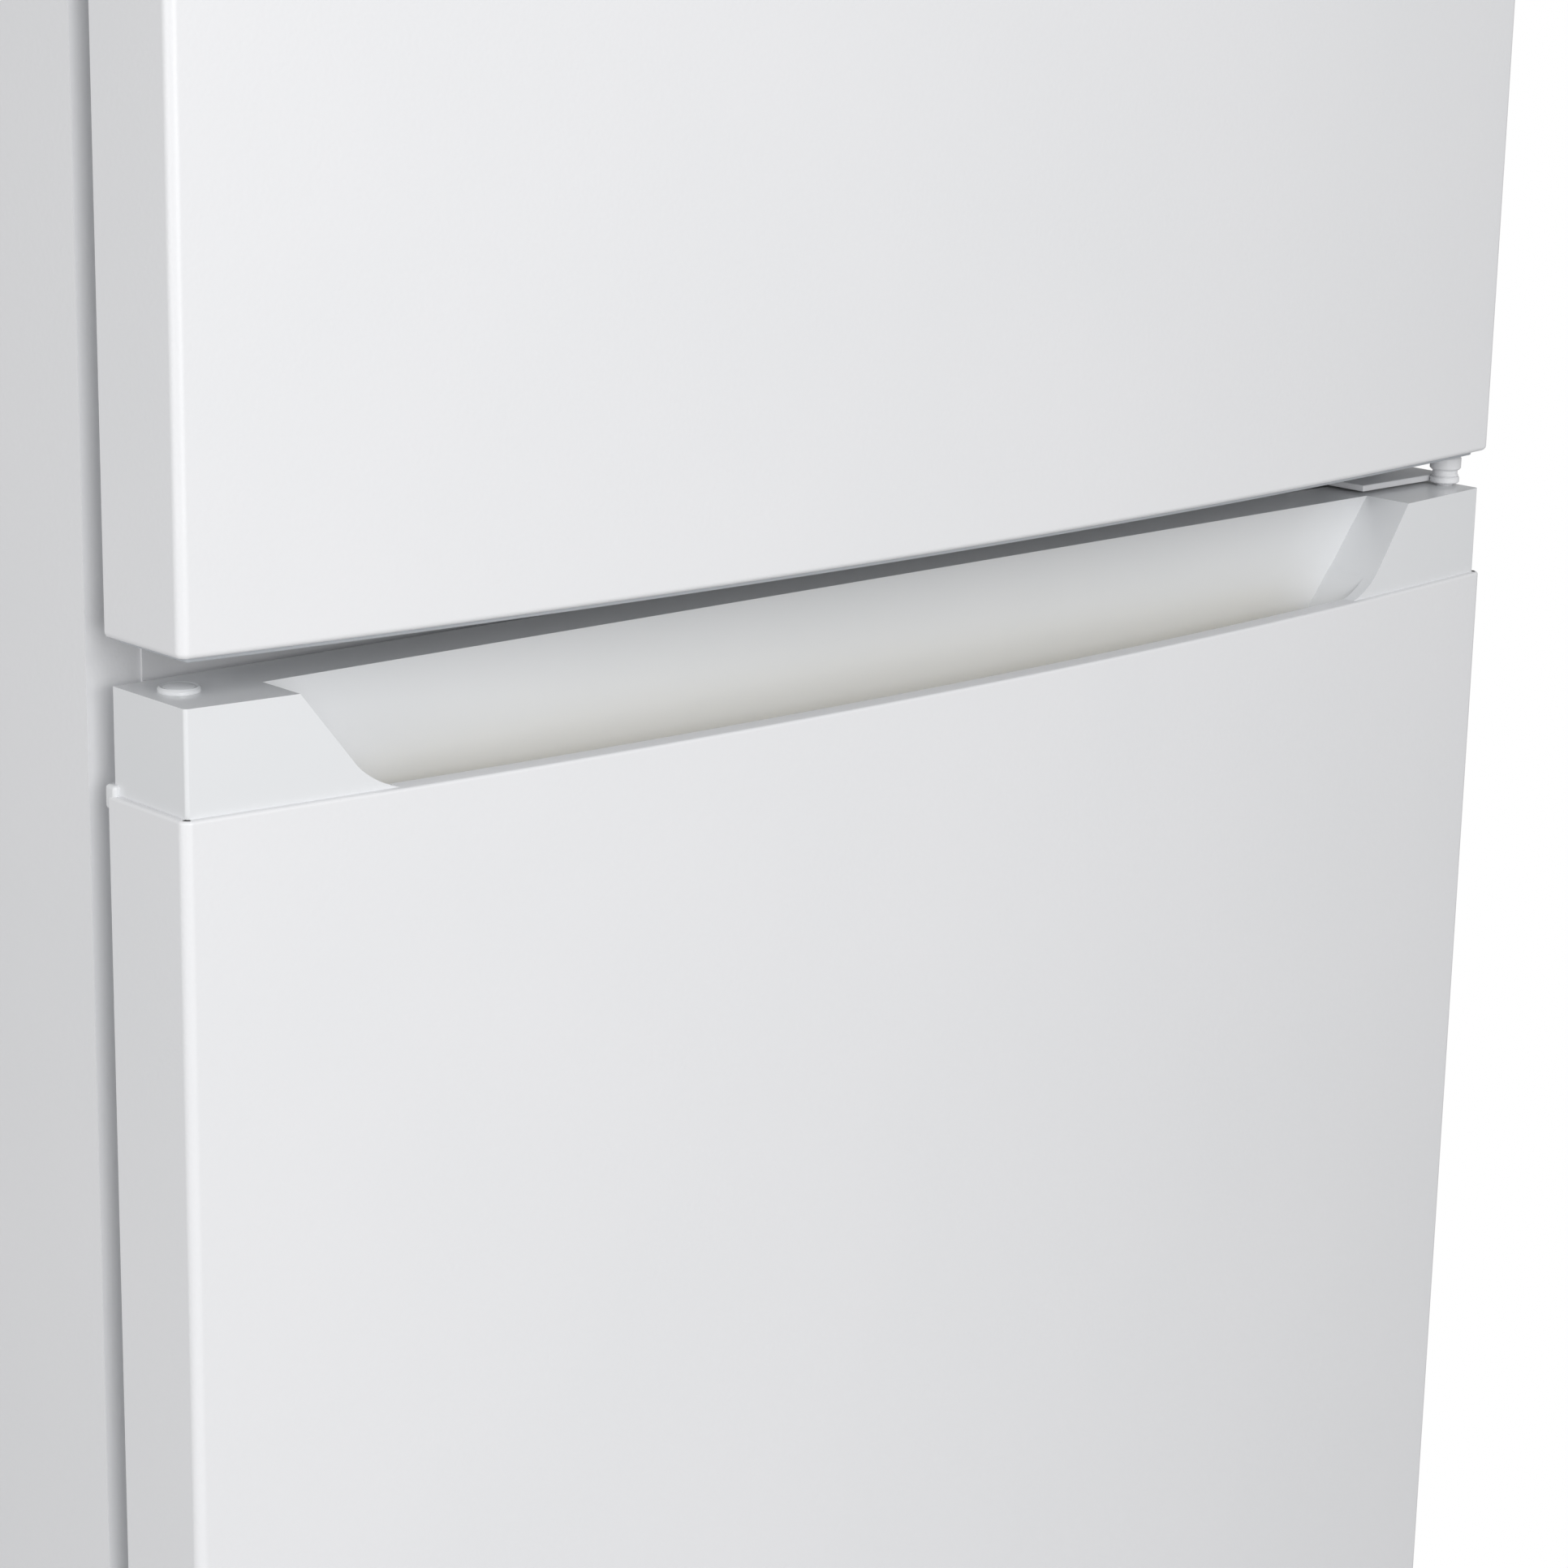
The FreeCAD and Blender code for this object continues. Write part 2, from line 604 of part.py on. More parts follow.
def roller(side):
    """Hard plastic wheel under a rear corner."""
    start = side * ROLLER_X - 9
    wheel = cylinder(ROLLER_RADIUS, 18, (start, ROLLER_Y, ROLLER_RADIUS), (1, 0, 0))
    wheel = wheel.makeFillet(2, [edge for edge in wheel.Edges if edge.Closed])
    return wheel.cut(cylinder(AXLE + RUNNING, 20, (start - 1, ROLLER_Y, ROLLER_RADIUS), (1, 0, 0)))


def kick_plate():
    """Slotted grille below the lower door."""
    left, right, low, high = -370.0, 296.0, 12.0, 60.0
    plate = rounded_box(4, Y_AXIS, left, right, CABINET_FRONT - 3, CABINET_FRONT, low, high)
    slot_count, slot_width, rows = 12, 40.0, 3
    pitch = (right - left - 40) / slot_count
    slots = []
    for column in range(slot_count):
        slot_left = left + 20 + column * pitch + (pitch - slot_width) / 2
        for row in range(rows):
            bottom = low + 10 + row * 11
            slots.append(box(
                slot_left, slot_left + slot_width, CABINET_FRONT - 4, CABINET_FRONT + 1,
                bottom, bottom + 5,
            ))
    return plate.cut(Part.makeCompound(slots))


# ---- hinges ------------------------------------------------------------------------------------

HINGE_EYE = 7.0


def hinge_arm(left, front, z_low, thickness, rear):
    """Flat arm from a mounting plate to a round eye about the pin."""
    arm = box(left, PIN_X, front, rear, z_low, z_low + thickness)
    eye_root = box(PIN_X - HINGE_EYE, PIN_X + HINGE_EYE, PIN_Y, rear, z_low, z_low + thickness)
    return union(arm, eye_root, cylinder(HINGE_EYE, thickness, (PIN_X, PIN_Y, z_low)))


def top_hinge():
    """Plate on the cabinet's top with the upper pin."""
    plate = box(318, CABINET_HALF - 1, CABINET_FRONT + 10, -225, CABINET_TOP, CABINET_TOP + 3)
    arm = hinge_arm(PIN_X - HINGE_EYE, PIN_Y, CABINET_TOP, 3, CABINET_FRONT + 11)
    pin = cylinder(PIN_RADIUS, PIN_DEPTH + 2, (PIN_X, PIN_Y, CABINET_TOP), (0, 0, -1))
    return union(plate, arm, pin)


def top_hinge_cover():
    """Rounded cover over the top hinge."""
    corners = (312, HALF, PIN_Y - 12, -215)
    outer = rounded_box(10, Z_AXIS, *corners, CABINET_TOP, CABINET_TOP + 20)
    outer = outer.makeFillet(5, [edge for edge in outer.Edges if edge.BoundBox.ZMin > CABINET_TOP + 19])
    cavity = (314, HALF - 1.8, PIN_Y - 10, -217)
    inner = rounded_box(8, Z_AXIS, *cavity, CABINET_TOP - 1, CABINET_TOP + 18)
    return outer.cut(inner)


BRACKET_LEFT = 300.0
ARM_THICKNESS = 3.0
ARM_Z = CAP_TOP + 1.3    # just above the handle cap, on a thin washer


def middle_hinge():
    """Bracket on the divider whose pin carries both doors."""
    rail_face = CABINET_FRONT - RAIL_SHEET
    plate = box(BRACKET_LEFT, RAIL_HALF_WIDTH, rail_face - 3, rail_face, GAP_MIDDLE - 13, GAP_MIDDLE + 13)
    arm = hinge_arm(PIN_X - 54, PIN_Y + 6, ARM_Z, ARM_THICKNESS, rail_face)
    arm_top = ARM_Z + ARM_THICKNESS
    pin_low = CAP_TOP - PIN_DEPTH + 2
    pin_high = FREEZER_DOOR_BOTTOM + PIN_DEPTH - 2
    pin = cylinder(PIN_RADIUS, pin_high - pin_low, (PIN_X, PIN_Y, pin_low))
    neck_top = arm_top + 3.5
    neck = cylinder(6, neck_top - arm_top, (PIN_X, PIN_Y, arm_top))
    collar = cylinder(7.5, FREEZER_DOOR_BOTTOM - 0.3 - neck_top, (PIN_X, PIN_Y, neck_top))
    washer = cylinder(7, ARM_Z - CAP_TOP - 0.3, (PIN_X, PIN_Y, CAP_TOP + 0.3))
    return union(plate, arm, pin, neck, collar, washer)


def bottom_hinge():
    """Bracket at the cabinet's foot with the lower pin."""
    low = FRIDGE_DOOR_BOTTOM - 8
    plate = box(BRACKET_LEFT, 372, CABINET_FRONT - 4, CABINET_FRONT, FLOOR_GAP + 2, low + 4)
    arm = hinge_arm(PIN_X - HINGE_EYE, PIN_Y, low, 4, CABINET_FRONT)
    pin = cylinder(PIN_RADIUS, 8 + PIN_DEPTH - 2, (PIN_X, PIN_Y, low))
    washer = cylinder(7, 3.5, (PIN_X, PIN_Y, low + 4))
    return union(plate, arm, pin, washer)


def hex_head(centre, direction):
    """Hexagonal screw head, 8 mm across flats."""
    across = 8 / math.sqrt(3)
    normal = Vector(*direction)
    side_a = Z_AXIS if abs(normal.z) < 0.5 else X_AXIS
    side_b = normal.cross(side_a)
    points = []
    for index in range(7):
        angle = math.radians(60 * index)
        offset = side_a * (across * math.cos(angle)) + side_b * (across * math.sin(angle))
        points.append(Vector(*centre) + offset)
    return Part.Face(Part.makePolygon(points)).extrude(normal * 4)


def hinge_screws():
    """All the hex screws of the three hinges."""
    top = CABINET_TOP + 3
    middle_face = CABINET_FRONT - RAIL_SHEET - 3
    bottom_face = CABINET_FRONT - 4
    heads = [hex_head((x, y, top), (0, 0, 1)) for x, y in ((330, -272), (330, -240), (352, -256))]
    heads += [hex_head((x, middle_face, GAP_MIDDLE + 5), (0, -1, 0)) for x in (309, 325)]
    heads += [hex_head((x, bottom_face, FLOOR_GAP + 11), (0, -1, 0)) for x in (309, 327, 345)]
    return Part.makeCompound(heads)


# ---- machine compartment and back ---------------------------------------------------------------

def pipe(points, radius, bend):
    """Round tube along straight runs joined by arcs."""
    corners = [Vector(*point) for point in points]
    edges = []
    start = corners[0]
    for index in range(1, len(corners) - 1):
        corner = corners[index]
        back = (corners[index - 1] - corner).normalize()
        ahead = (corners[index + 1] - corner).normalize()
        half_turn = back.getAngle(ahead) / 2
        reach = bend / math.tan(half_turn)
        arc_start = corner + back * reach
        arc_end = corner + ahead * reach
        inward = (back + ahead).normalize()
        arc_middle = corner + inward * (bend / math.sin(half_turn) - bend)
        edges.append(Part.LineSegment(start, arc_start).toShape())
        edges.append(Part.Arc(arc_start, arc_middle, arc_end).toShape())
        start = arc_end
    edges.append(Part.LineSegment(start, corners[-1]).toShape())
    path = Part.Wire(edges)
    section = Part.Wire([Part.makeCircle(radius, corners[0], corners[1] - corners[0])])
    return path.makePipeShell([section], True, False)


COMPRESSOR_Y = 245.0
COMPRESSOR_RADIUS = 80.0


def compressor():
    """Sealed compressor on a base plate with four grommets."""
    low, high = 52.0, 195.0
    shell = cylinder(COMPRESSOR_RADIUS, high - low, (0, COMPRESSOR_Y, low))
    top_edge = [edge for edge in shell.Edges if edge.Closed and edge.CenterOfMass.z > high - 1]
    shell = shell.makeFillet(38, top_edge)
    bottom_edge = [edge for edge in shell.Edges if edge.Closed and edge.CenterOfMass.z < low + 1]
    shell = shell.makeFillet(22, bottom_edge)
    plate = rounded_box(15, Z_AXIS, -115, 115, COMPRESSOR_Y - 70, COMPRESSOR_Y + 70, 50, 53)
    terminal = box(-88, -60, COMPRESSOR_Y - 22, COMPRESSOR_Y + 22, 105, 155)
    grommets = []
    for x in (-98, 98):
        for y in (COMPRESSOR_Y - 54, COMPRESSOR_Y + 54):
            grommets.append(cylinder(10, 50 - FLOOR_GAP - 1.5, (x, y, FLOOR_GAP + 1.5)))
    return union(shell, plate, terminal, *grommets)


def start_relay_cover():
    """Plastic cover on the compressor's terminals."""
    return rounded_box(5, X_AXIS, -118, -88, COMPRESSOR_Y - 30, COMPRESSOR_Y + 30, 98, 162)


def drain_pan():
    """Shallow tray on top of the compressor that catches defrost water."""
    floor = 195.0
    outer = rounded_box(12, Z_AXIS, -110, 110, 165, 325, floor, floor + 35)
    inner = rounded_box(10, Z_AXIS, -108, 108, 167, 323, floor + 2, floor + 36)
    return outer.cut(inner)


def refrigerant_lines(neighbour):
    """Discharge and suction tubes with the filter drier."""
    discharge = pipe([
        (70, 225, 150), (300, 225, 150), (300, CONDENSER_Y, 150),
        (300, CONDENSER_Y, CONDENSER_BOTTOM), (CONDENSER_HALF, CONDENSER_Y, CONDENSER_BOTTOM),
    ], CONDENSER_TUBE, 15)
    suction = pipe([
        (70, 270, 110), (170, 270, 110), (170, 358, 110), (170, 358, 420), (170, CABINET_REAR - 1, 420),
    ], 4.0, 12)
    drier = cylinder(10, 80, (300, 255, 150), (0, 1, 0))
    drier = drier.makeFillet(7, [edge for edge in drier.Edges if edge.Closed])
    lines = [union(discharge, drier), suction]
    return Part.makeCompound([line.cut(neighbour) for line in lines])


def condenser():
    """Serpentine tube with wires across it, on four stand-offs."""
    points = [(CONDENSER_HALF, CONDENSER_Y, CONDENSER_BOTTOM)]
    turn = CONDENSER_HALF - 2
    for row in range(CONDENSER_PASSES):
        height = CONDENSER_BOTTOM + row * CONDENSER_PITCH
        side = -1 if row % 2 == 0 else 1
        points.append((side * turn, CONDENSER_Y, height))
        if row < CONDENSER_PASSES - 1:
            points.append((side * turn, CONDENSER_Y, height + CONDENSER_PITCH))
    tube = pipe(points, CONDENSER_TUBE, 16)
    top = CONDENSER_BOTTOM + (CONDENSER_PASSES - 1) * CONDENSER_PITCH
    wire_count = 15
    wire_y = CONDENSER_Y + CONDENSER_TUBE + WIRE - 0.4
    wires = []
    for index in range(wire_count):
        x = -224 + index * 448 / (wire_count - 1)
        wires.append(cylinder(WIRE, top - CONDENSER_BOTTOM + 20, (x, wire_y, CONDENSER_BOTTOM - 10)))
    stands = []
    for z in (CONDENSER_BOTTOM + CONDENSER_PITCH, top - CONDENSER_PITCH):
        stands += mirrored_pair(190, 206, CABINET_REAR - 1, CONDENSER_Y, z - 8, z + 8)
    return union(tube, *wires, *stands)


def cord_gland():
    """Plain ring where the supply lead enters the back."""
    base = (-250, CABINET_REAR - 1, 345)
    ring = cylinder(11, 6, base, (0, 1, 0))
    return ring.cut(cylinder(4, 8, (-250, CABINET_REAR - 2, 345), (0, 1, 0)))


# ---- freezer air system -------------------------------------------------------------------------

COVER_Y = 205.0
FAN_Z = 1490.0
FAN_RADIUS = 46.0
FAN_Y = 213.0


def evaporator_cover():
    """Panel in front of the evaporator with the fan opening and return slots."""
    half = FREEZER_HALF - 2
    panel = rounded_box(
        18, Y_AXIS, -half, half, COVER_Y, COVER_Y + 2.5, FREEZER_FLOOR + 2, FREEZER_CEILING - 2,
    )
    cuts = [cylinder(FAN_RADIUS + 4, 6, (0, COVER_Y - 2, FAN_Z), (0, 1, 0))]
    slot_count = 9
    for index in range(slot_count):
        x = -260 + index * 520 / (slot_count - 1)
        cuts.append(box(x - 22, x + 22, COVER_Y - 1, COVER_Y + 4, FREEZER_FLOOR + 16, FREEZER_FLOOR + 26))
    panel = panel.cut(Part.makeCompound(cuts))
    guard = []
    for offset in (-24, 0, 24):
        guard.append(box(offset - 1.5, offset + 1.5, COVER_Y, COVER_Y + 2.5, FAN_Z - 52, FAN_Z + 52))
    return union(panel, *guard)


def evaporator():
    """Finned coil behind the cover."""
    y = 230.0
    half = 270.0
    points = []
    for row in range(5):
        height = 1250 + row * 34
        side = 1 if row % 2 == 0 else -1
        points.append((-side * half, y, height))
        points.append((side * half, y, height))
    coil = pipe(points, 4, 12)
    fin_count = 19
    fins = []
    for index in range(fin_count):
        x = -234 + index * 468 / (fin_count - 1)
        fins.append(box(x - 0.5, x + 0.5, y - 14, y + 14, 1238, 1398))
    return union(coil, *fins)


def defrost_heater():
    """Heating rod in its glass tube under the coil."""
    rod = cylinder(5, 520, (-260, 230, 1220), (1, 0, 0))
    ends = [cylinder(8, 16, (x, 230, 1220), (1, 0, 0)) for x in (-268, 252)]
    return union(rod, *ends)


def fan_motor():
    """Motor on a bracket at the back wall, with its shaft forward."""
    body = cylinder(22, 22, (0, 228, FAN_Z), (0, 1, 0))
    bracket = box(-50, 50, FREEZER_BACK - 5, FREEZER_BACK, FAN_Z - 12, FAN_Z + 12)
    shaft = cylinder(2, 14, (0, FAN_Y + 2, FAN_Z), (0, 1, 0))
    return union(body, bracket, shaft)


def fan_blade():
    """Hub with five twisted blades."""
    hub = cylinder(13, 11, (0, FAN_Y, FAN_Z), (0, 1, 0))
    blades = []
    for index in range(5):
        blade = box(8, FAN_RADIUS, -0.8, 0.8, -9, 9)
        blade.rotate(Vector(0, 0, 0), X_AXIS, 65)
        blade.translate(Vector(0, FAN_Y + 5.5, FAN_Z))
        blade.rotate(Vector(0, 0, FAN_Z), Y_AXIS, 72 * index)
        blades.append(blade)
    fan = union(hub, *blades)
    return fan.cut(cylinder(2 + RUNNING, 9.1, (0, FAN_Y + 2, FAN_Z), (0, 1, 0)))


def air_duct():
    """Duct down the back wall with outlets to the shelves."""
    outer = box(-70, 70, 240, FRIDGE_BACK, 640, FRIDGE_CEILING)
    inner = box(-68, 68, 242, FRIDGE_BACK - 2, 642, FRIDGE_CEILING)
    duct = outer.cut(inner)
    outlets = [box(-45, 45, 238, 243, z, z + 10) for z in (690, 900, 1010)]
    return duct.cut(Part.makeCompound(outlets))


# ---- fresh food compartment ---------------------------------------------------------------------

CONSOLE = (-160.0, 160.0, -245.0, -90.0)
CONSOLE_BOTTOM = FRIDGE_CEILING - 40
KNOB = (-100.0, -200.0)
SWITCH_X = 130.0
SWITCH_Z = FRIDGE_CEILING - 20


def control_console():
    """Hollow housing on the ceiling for the control, the lamp and the door switch."""
    outer = rounded_box(8, Z_AXIS, *CONSOLE, CONSOLE_BOTTOM, FRIDGE_CEILING)
    inner = box(-157, 157, -242, -93, CONSOLE_BOTTOM + 3, FRIDGE_CEILING)
    shaft_hole = cylinder(5, 5, (*KNOB, CONSOLE_BOTTOM - 1))
    plunger_hole = cylinder(5.2, 6, (SWITCH_X, -247, SWITCH_Z), (0, 1, 0))
    lamp_hole = box(-30, 90, -215, -125, CONSOLE_BOTTOM - 1, CONSOLE_BOTTOM + 4)
    return outer.cut(Part.makeCompound([inner, shaft_hole, plunger_hole, lamp_hole]))


def control_knob():
    """Round knob under the console, on a short shaft."""
    disc = cylinder(19, 12, (*KNOB, CONSOLE_BOTTOM - 13))
    disc = disc.makeFillet(2, [edge for edge in disc.Edges if edge.CenterOfMass.z < CONSOLE_BOTTOM - 10])
    x, y = KNOB
    grip = box(x - 3, x + 3, y - 17, y + 17, CONSOLE_BOTTOM - 19, CONSOLE_BOTTOM - 12)
    shaft = cylinder(4.9, 14, (*KNOB, CONSOLE_BOTTOM - 2))
    return union(disc, grip, shaft)


def lamp_lens():
    """Frosted lens over the lamp."""
    outer = rounded_box(6, Z_AXIS, -36, 96, -221, -119, CONSOLE_BOTTOM - 8, CONSOLE_BOTTOM)
    inner = box(-33, 93, -218, -122, CONSOLE_BOTTOM - 6, CONSOLE_BOTTOM)
    return outer.cut(inner)


def door_switch():
    """Plunger that the lower door's rim pushes in."""
    tip = DOOR_REAR + DIKE_DEPTH + 0.4
    stem = cylinder(5, -225 - tip, (SWITCH_X, tip, SWITCH_Z), (0, 1, 0))
    return stem.makeFillet(2, [edge for edge in stem.Edges if edge.CenterOfMass.y < tip + 1])


def shelf(half, height, rear):
    """Glass panel set in a moulded rim."""
    rim_width = 16.0
    rim = box(-half, half, SHELF_FRONT, rear, height, height + SHELF_THICKNESS)
    well = box(
        -half + rim_width, half - rim_width, SHELF_FRONT + rim_width, rear - rim_width,
        height, height + SHELF_THICKNESS,
    )
    pane = box(
        -half + rim_width, half - rim_width, SHELF_FRONT + rim_width, rear - rim_width,
        height + SHELF_THICKNESS - GLASS - 1, height + SHELF_THICKNESS - 1,
    )
    return union(rim.cut(well), pane)


CRISPER_FRONT = -172.0
CRISPER_REAR = 108.0
CRISPER_TOP = CRISPER_COVER_Z - 6
HUMIDITY_Z = CRISPER_COVER_Z + 6


def crisper_cover():
    """Shelf over the two drawers, with a slot for the humidity slide."""
    cover = shelf(FRIDGE_HALF - 1.5, CRISPER_COVER_Z, 115)
    slot = box(-32, 32, SHELF_FRONT - 1, SHELF_FRONT + 6, HUMIDITY_Z - 3, HUMIDITY_Z + 3)
    return cover.cut(slot)


def humidity_slider():
    """Small slide in the drawer cover's front edge."""
    tongue = box(-12, 12, SHELF_FRONT - 1, SHELF_FRONT + 5.5, HUMIDITY_Z - 2.7, HUMIDITY_Z + 2.7)
    tab = box(-5, 5, SHELF_FRONT - 6, SHELF_FRONT - 1, HUMIDITY_Z - 2.7, HUMIDITY_Z + 2.7)
    return union(tongue, tab)


def crisper(side):
    """Open drawer with a lip along its front for the hand."""
    low, high = sorted((side * 5, side * 308))
    bottom = FRIDGE_FLOOR + 0.4
    outer = rounded_box(14, Z_AXIS, low, high, CRISPER_FRONT, CRISPER_REAR, bottom, CRISPER_TOP)
    inner = rounded_box(
        12, Z_AXIS, low + 2.5, high - 2.5, CRISPER_FRONT + 2.5, CRISPER_REAR - 2.5,
        bottom + 2.5, CRISPER_TOP + 1,
    )
    reach = CRISPER_FRONT - 12
    lip = box(low + 40, high - 40, reach, CRISPER_FRONT + 1, CRISPER_TOP - 34, CRISPER_TOP - 30)
    curl = box(low + 40, high - 40, reach, reach + 2.5, CRISPER_TOP - 46, CRISPER_TOP - 31)
    return union(outer.cut(inner), lip, curl)


# ---- writing every sub-part ---------------------------------------------------------------------

def write_fridge_door():
    """Lower door with its handle cap and bins."""
    low = FRIDGE_DOOR_BOTTOM
    steel_low = low + END_CAP
    dike_range = (FRIDGE_FLOOR + 12, FRIDGE_CEILING - 8)
    bottom_cap = end_cap(low, steel_low)
    cap = handle_cap()
    cuts = [bottom_cap, cap, pocket(), hinge_bore(low, 1), cap_bores()]
    foam = door_foam(steel_low, SEAM, *dike_range, cuts)
    foam = union(foam, cap_foam(cap))
    bins = {"middle_bin": 470.0, "bottom_bin": 160.0}
    ledges = [DAIRY_BOTTOM] + list(bins.values())
    export("fridge_door_skin", door_skin(steel_low, SEAM).cut(hinge_boss(low, 1)))
    export("fridge_door_foam", foam)
    export("fridge_door_liner", door_liner(low, CAP_TOP, *dike_range, ledges))
    export("fridge_door_gasket", gasket(low, CAP_TOP))
    export("fridge_door_bottom_cap", bottom_cap)
    export("handle_cap", cap)
    export("hinge_hole_plug", hinge_hole_plug())
    export("dairy_bin", dairy_bin())
    export("dairy_lid", dairy_lid())
    for name, height in bins.items():
        export(name, bin_tub(height, height + 75, height + 105))


def write_freezer_door():
    """Upper door with its end caps and bins."""
    low, high = FREEZER_DOOR_BOTTOM, FREEZER_DOOR_TOP
    steel_low, steel_high = low + END_CAP, high - END_CAP
    dike_range = (FREEZER_FLOOR + 10, FREEZER_CEILING - 10)
    bottom_cap = end_cap(low, steel_low)
    top_cap = end_cap(high, steel_high)
    bins = {"freezer_lower_bin": FREEZER_FLOOR + 50, "freezer_upper_bin": FREEZER_FLOOR + 225}
    liner = door_liner(low, high, *dike_range, list(bins.values()))
    bosses = [hinge_boss(low, 1), hinge_boss(high, -1)]
    export("freezer_door_skin", door_skin(steel_low, steel_high).cut(bosses))
    cuts = [bottom_cap, top_cap, hinge_bore(low, 1), hinge_bore(high, -1)]
    export("freezer_door_foam", door_foam(steel_low, steel_high, *dike_range, cuts))
    export("freezer_door_liner", liner)
    export("freezer_door_gasket", gasket(low, high))
    export("freezer_door_bottom_cap", bottom_cap)
    export("freezer_door_top_cap", top_cap)
    for name, height in bins.items():
        export(name, bin_tub(height, height + 60, height + 85))


def write_cabinet():
    """Cabinet, its linings, hinges, machine compartment and inner fittings."""
    pan = base_pan()
    linings = {"freezer_liner": freezer_liner(), "fridge_liner": fridge_liner()}
    machine = compressor()
    shapes = {
        "cabinet_shell": cabinet_shell(),
        "rear_panel": rear_panel(),
        "cabinet_foam": cabinet_foam([pan, *linings.values()]),
        **linings,
        "center_rail": center_rail(),
        "base_pan": pan,
        "kick_plate": kick_plate(),
        "roller_brackets": roller_brackets(),
        "compressor": machine,
        "start_relay_cover": start_relay_cover(),
        "drain_pan": drain_pan(),
        "refrigerant_lines": refrigerant_lines(machine),
        "condenser": condenser(),
        "cord_gland": cord_gland(),
        "top_hinge": top_hinge(),
        "top_hinge_cover": top_hinge_cover(),
        "middle_hinge": middle_hinge(),
        "bottom_hinge": bottom_hinge(),
        "hinge_screws": hinge_screws(),
        "evaporator_cover": evaporator_cover(),
        "evaporator": evaporator(),
        "defrost_heater": defrost_heater(),
        "fan_motor": fan_motor(),
        "fan_blade": fan_blade(),
        "air_duct": air_duct(),
        "control_console": control_console(),
        "control_knob": control_knob(),
        "lamp_lens": lamp_lens(),
        "door_switch": door_switch(),
        "freezer_shelf": shelf(FREEZER_HALF - 1.5, FREEZER_SHELF_Z, 195),
        "upper_shelf": shelf(FRIDGE_HALF - 1.5, UPPER_SHELF_Z, 235),
        "lower_shelf": shelf(FRIDGE_HALF - 1.5, LOWER_SHELF_Z, 235),
        "crisper_cover": crisper_cover(),
        "humidity_slider": humidity_slider(),
    }
    for name, side in (("left", -1), ("right", 1)):
        shapes[name + "_foot"] = foot(side)
        shapes[name + "_roller"] = roller(side)
        shapes[name + "_crisper"] = crisper(side)
    for name, shape in shapes.items():
        export(name, shape)


os.makedirs("parts", exist_ok=True)
write_cabinet()
write_freezer_door()
write_fridge_door()
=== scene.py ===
"""Top freezer refrigerator: the finished pieces, their materials, the light and the camera."""

import json
import logging
import math
from collections.abc import Callable
from dataclasses import dataclass
from enum import Enum

import bmesh
import bpy
from mathutils import Matrix, Vector


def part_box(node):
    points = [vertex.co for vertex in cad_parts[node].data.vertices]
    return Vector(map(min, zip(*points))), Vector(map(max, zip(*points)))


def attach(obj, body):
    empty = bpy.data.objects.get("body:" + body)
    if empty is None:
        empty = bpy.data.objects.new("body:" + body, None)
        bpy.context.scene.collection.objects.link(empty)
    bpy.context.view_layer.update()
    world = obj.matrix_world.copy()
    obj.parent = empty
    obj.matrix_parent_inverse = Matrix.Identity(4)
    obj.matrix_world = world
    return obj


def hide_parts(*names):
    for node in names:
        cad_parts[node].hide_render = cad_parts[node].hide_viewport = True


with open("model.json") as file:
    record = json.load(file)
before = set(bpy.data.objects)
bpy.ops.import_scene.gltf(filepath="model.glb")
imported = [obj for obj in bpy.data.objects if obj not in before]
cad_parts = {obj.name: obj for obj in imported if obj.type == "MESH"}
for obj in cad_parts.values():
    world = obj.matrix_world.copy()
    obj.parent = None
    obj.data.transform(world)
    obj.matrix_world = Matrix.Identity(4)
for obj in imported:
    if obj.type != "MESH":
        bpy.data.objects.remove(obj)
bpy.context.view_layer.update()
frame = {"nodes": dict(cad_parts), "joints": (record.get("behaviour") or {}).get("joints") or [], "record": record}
LOG = logging.getLogger("refrigerator")
MM = 0.001

Colour = tuple[float, float, float, float]
Links = dict[str | int, object]
Profile = list[tuple[float, float]]
EdgeTest = Callable[[Vector, Vector], bool]


# ---- nodes and materials ------------------------------------------------------------------------

def linear(code: str) -> Colour:
    """Turn an sRGB hex colour into the linear values that the shader takes.

    Args:
        code: six hex digits, such as "E8E9EB".

    Returns:
        Red, green, blue and an alpha of 1.
    """
    channels = [int(code[start:start + 2], 16) / 255 for start in (0, 2, 4)]
    values = [c / 12.92 if c <= 0.04045 else ((c + 0.055) / 1.055) ** 2.4 for c in channels]
    return (*values, 1.0)


class Graph:
    """Node tree of one material, with its shader and the piece's own coordinates."""

    def __init__(self, name: str) -> None:
        """Start a material with an empty tree.

        Args:
            name: the material's name.
        """
        self.material = bpy.data.materials.new(name)
        self.material.use_nodes = True
        self.tree = self.material.node_tree
        self.tree.nodes.clear()
        self.place = self.add("ShaderNodeTexCoord").outputs["Object"]

    def add(
        self, kind: str, settings: dict[str, object] | None = None, links: Links | None = None,
    ) -> bpy.types.Node:
        """Add a node, set its options, and link or set its inputs.

        Args:
            kind: the node's type name.
            settings: attributes of the node itself.
            links: input name or number to a socket or a plain value.

        Returns:
            The new node.
        """
        node = self.tree.nodes.new(kind)
        for attribute, value in (settings or {}).items():
            setattr(node, attribute, value)
        for key, value in (links or {}).items():
            if isinstance(value, bpy.types.NodeSocket):
                self.tree.links.new(value, node.inputs[key])
            else:
                node.inputs[key].default_value = value
        return node

    def finish(self, links: Links) -> bpy.types.Material:
        """Add the surface shader and close the tree.

        Args:
            links: inputs of the surface shader.

        Returns:
            The finished material.
        """
        shader = self.add("ShaderNodeBsdfPrincipled", links=links)
        self.add("ShaderNodeOutputMaterial", links={"Surface": shader.outputs["BSDF"]})
        return self.material


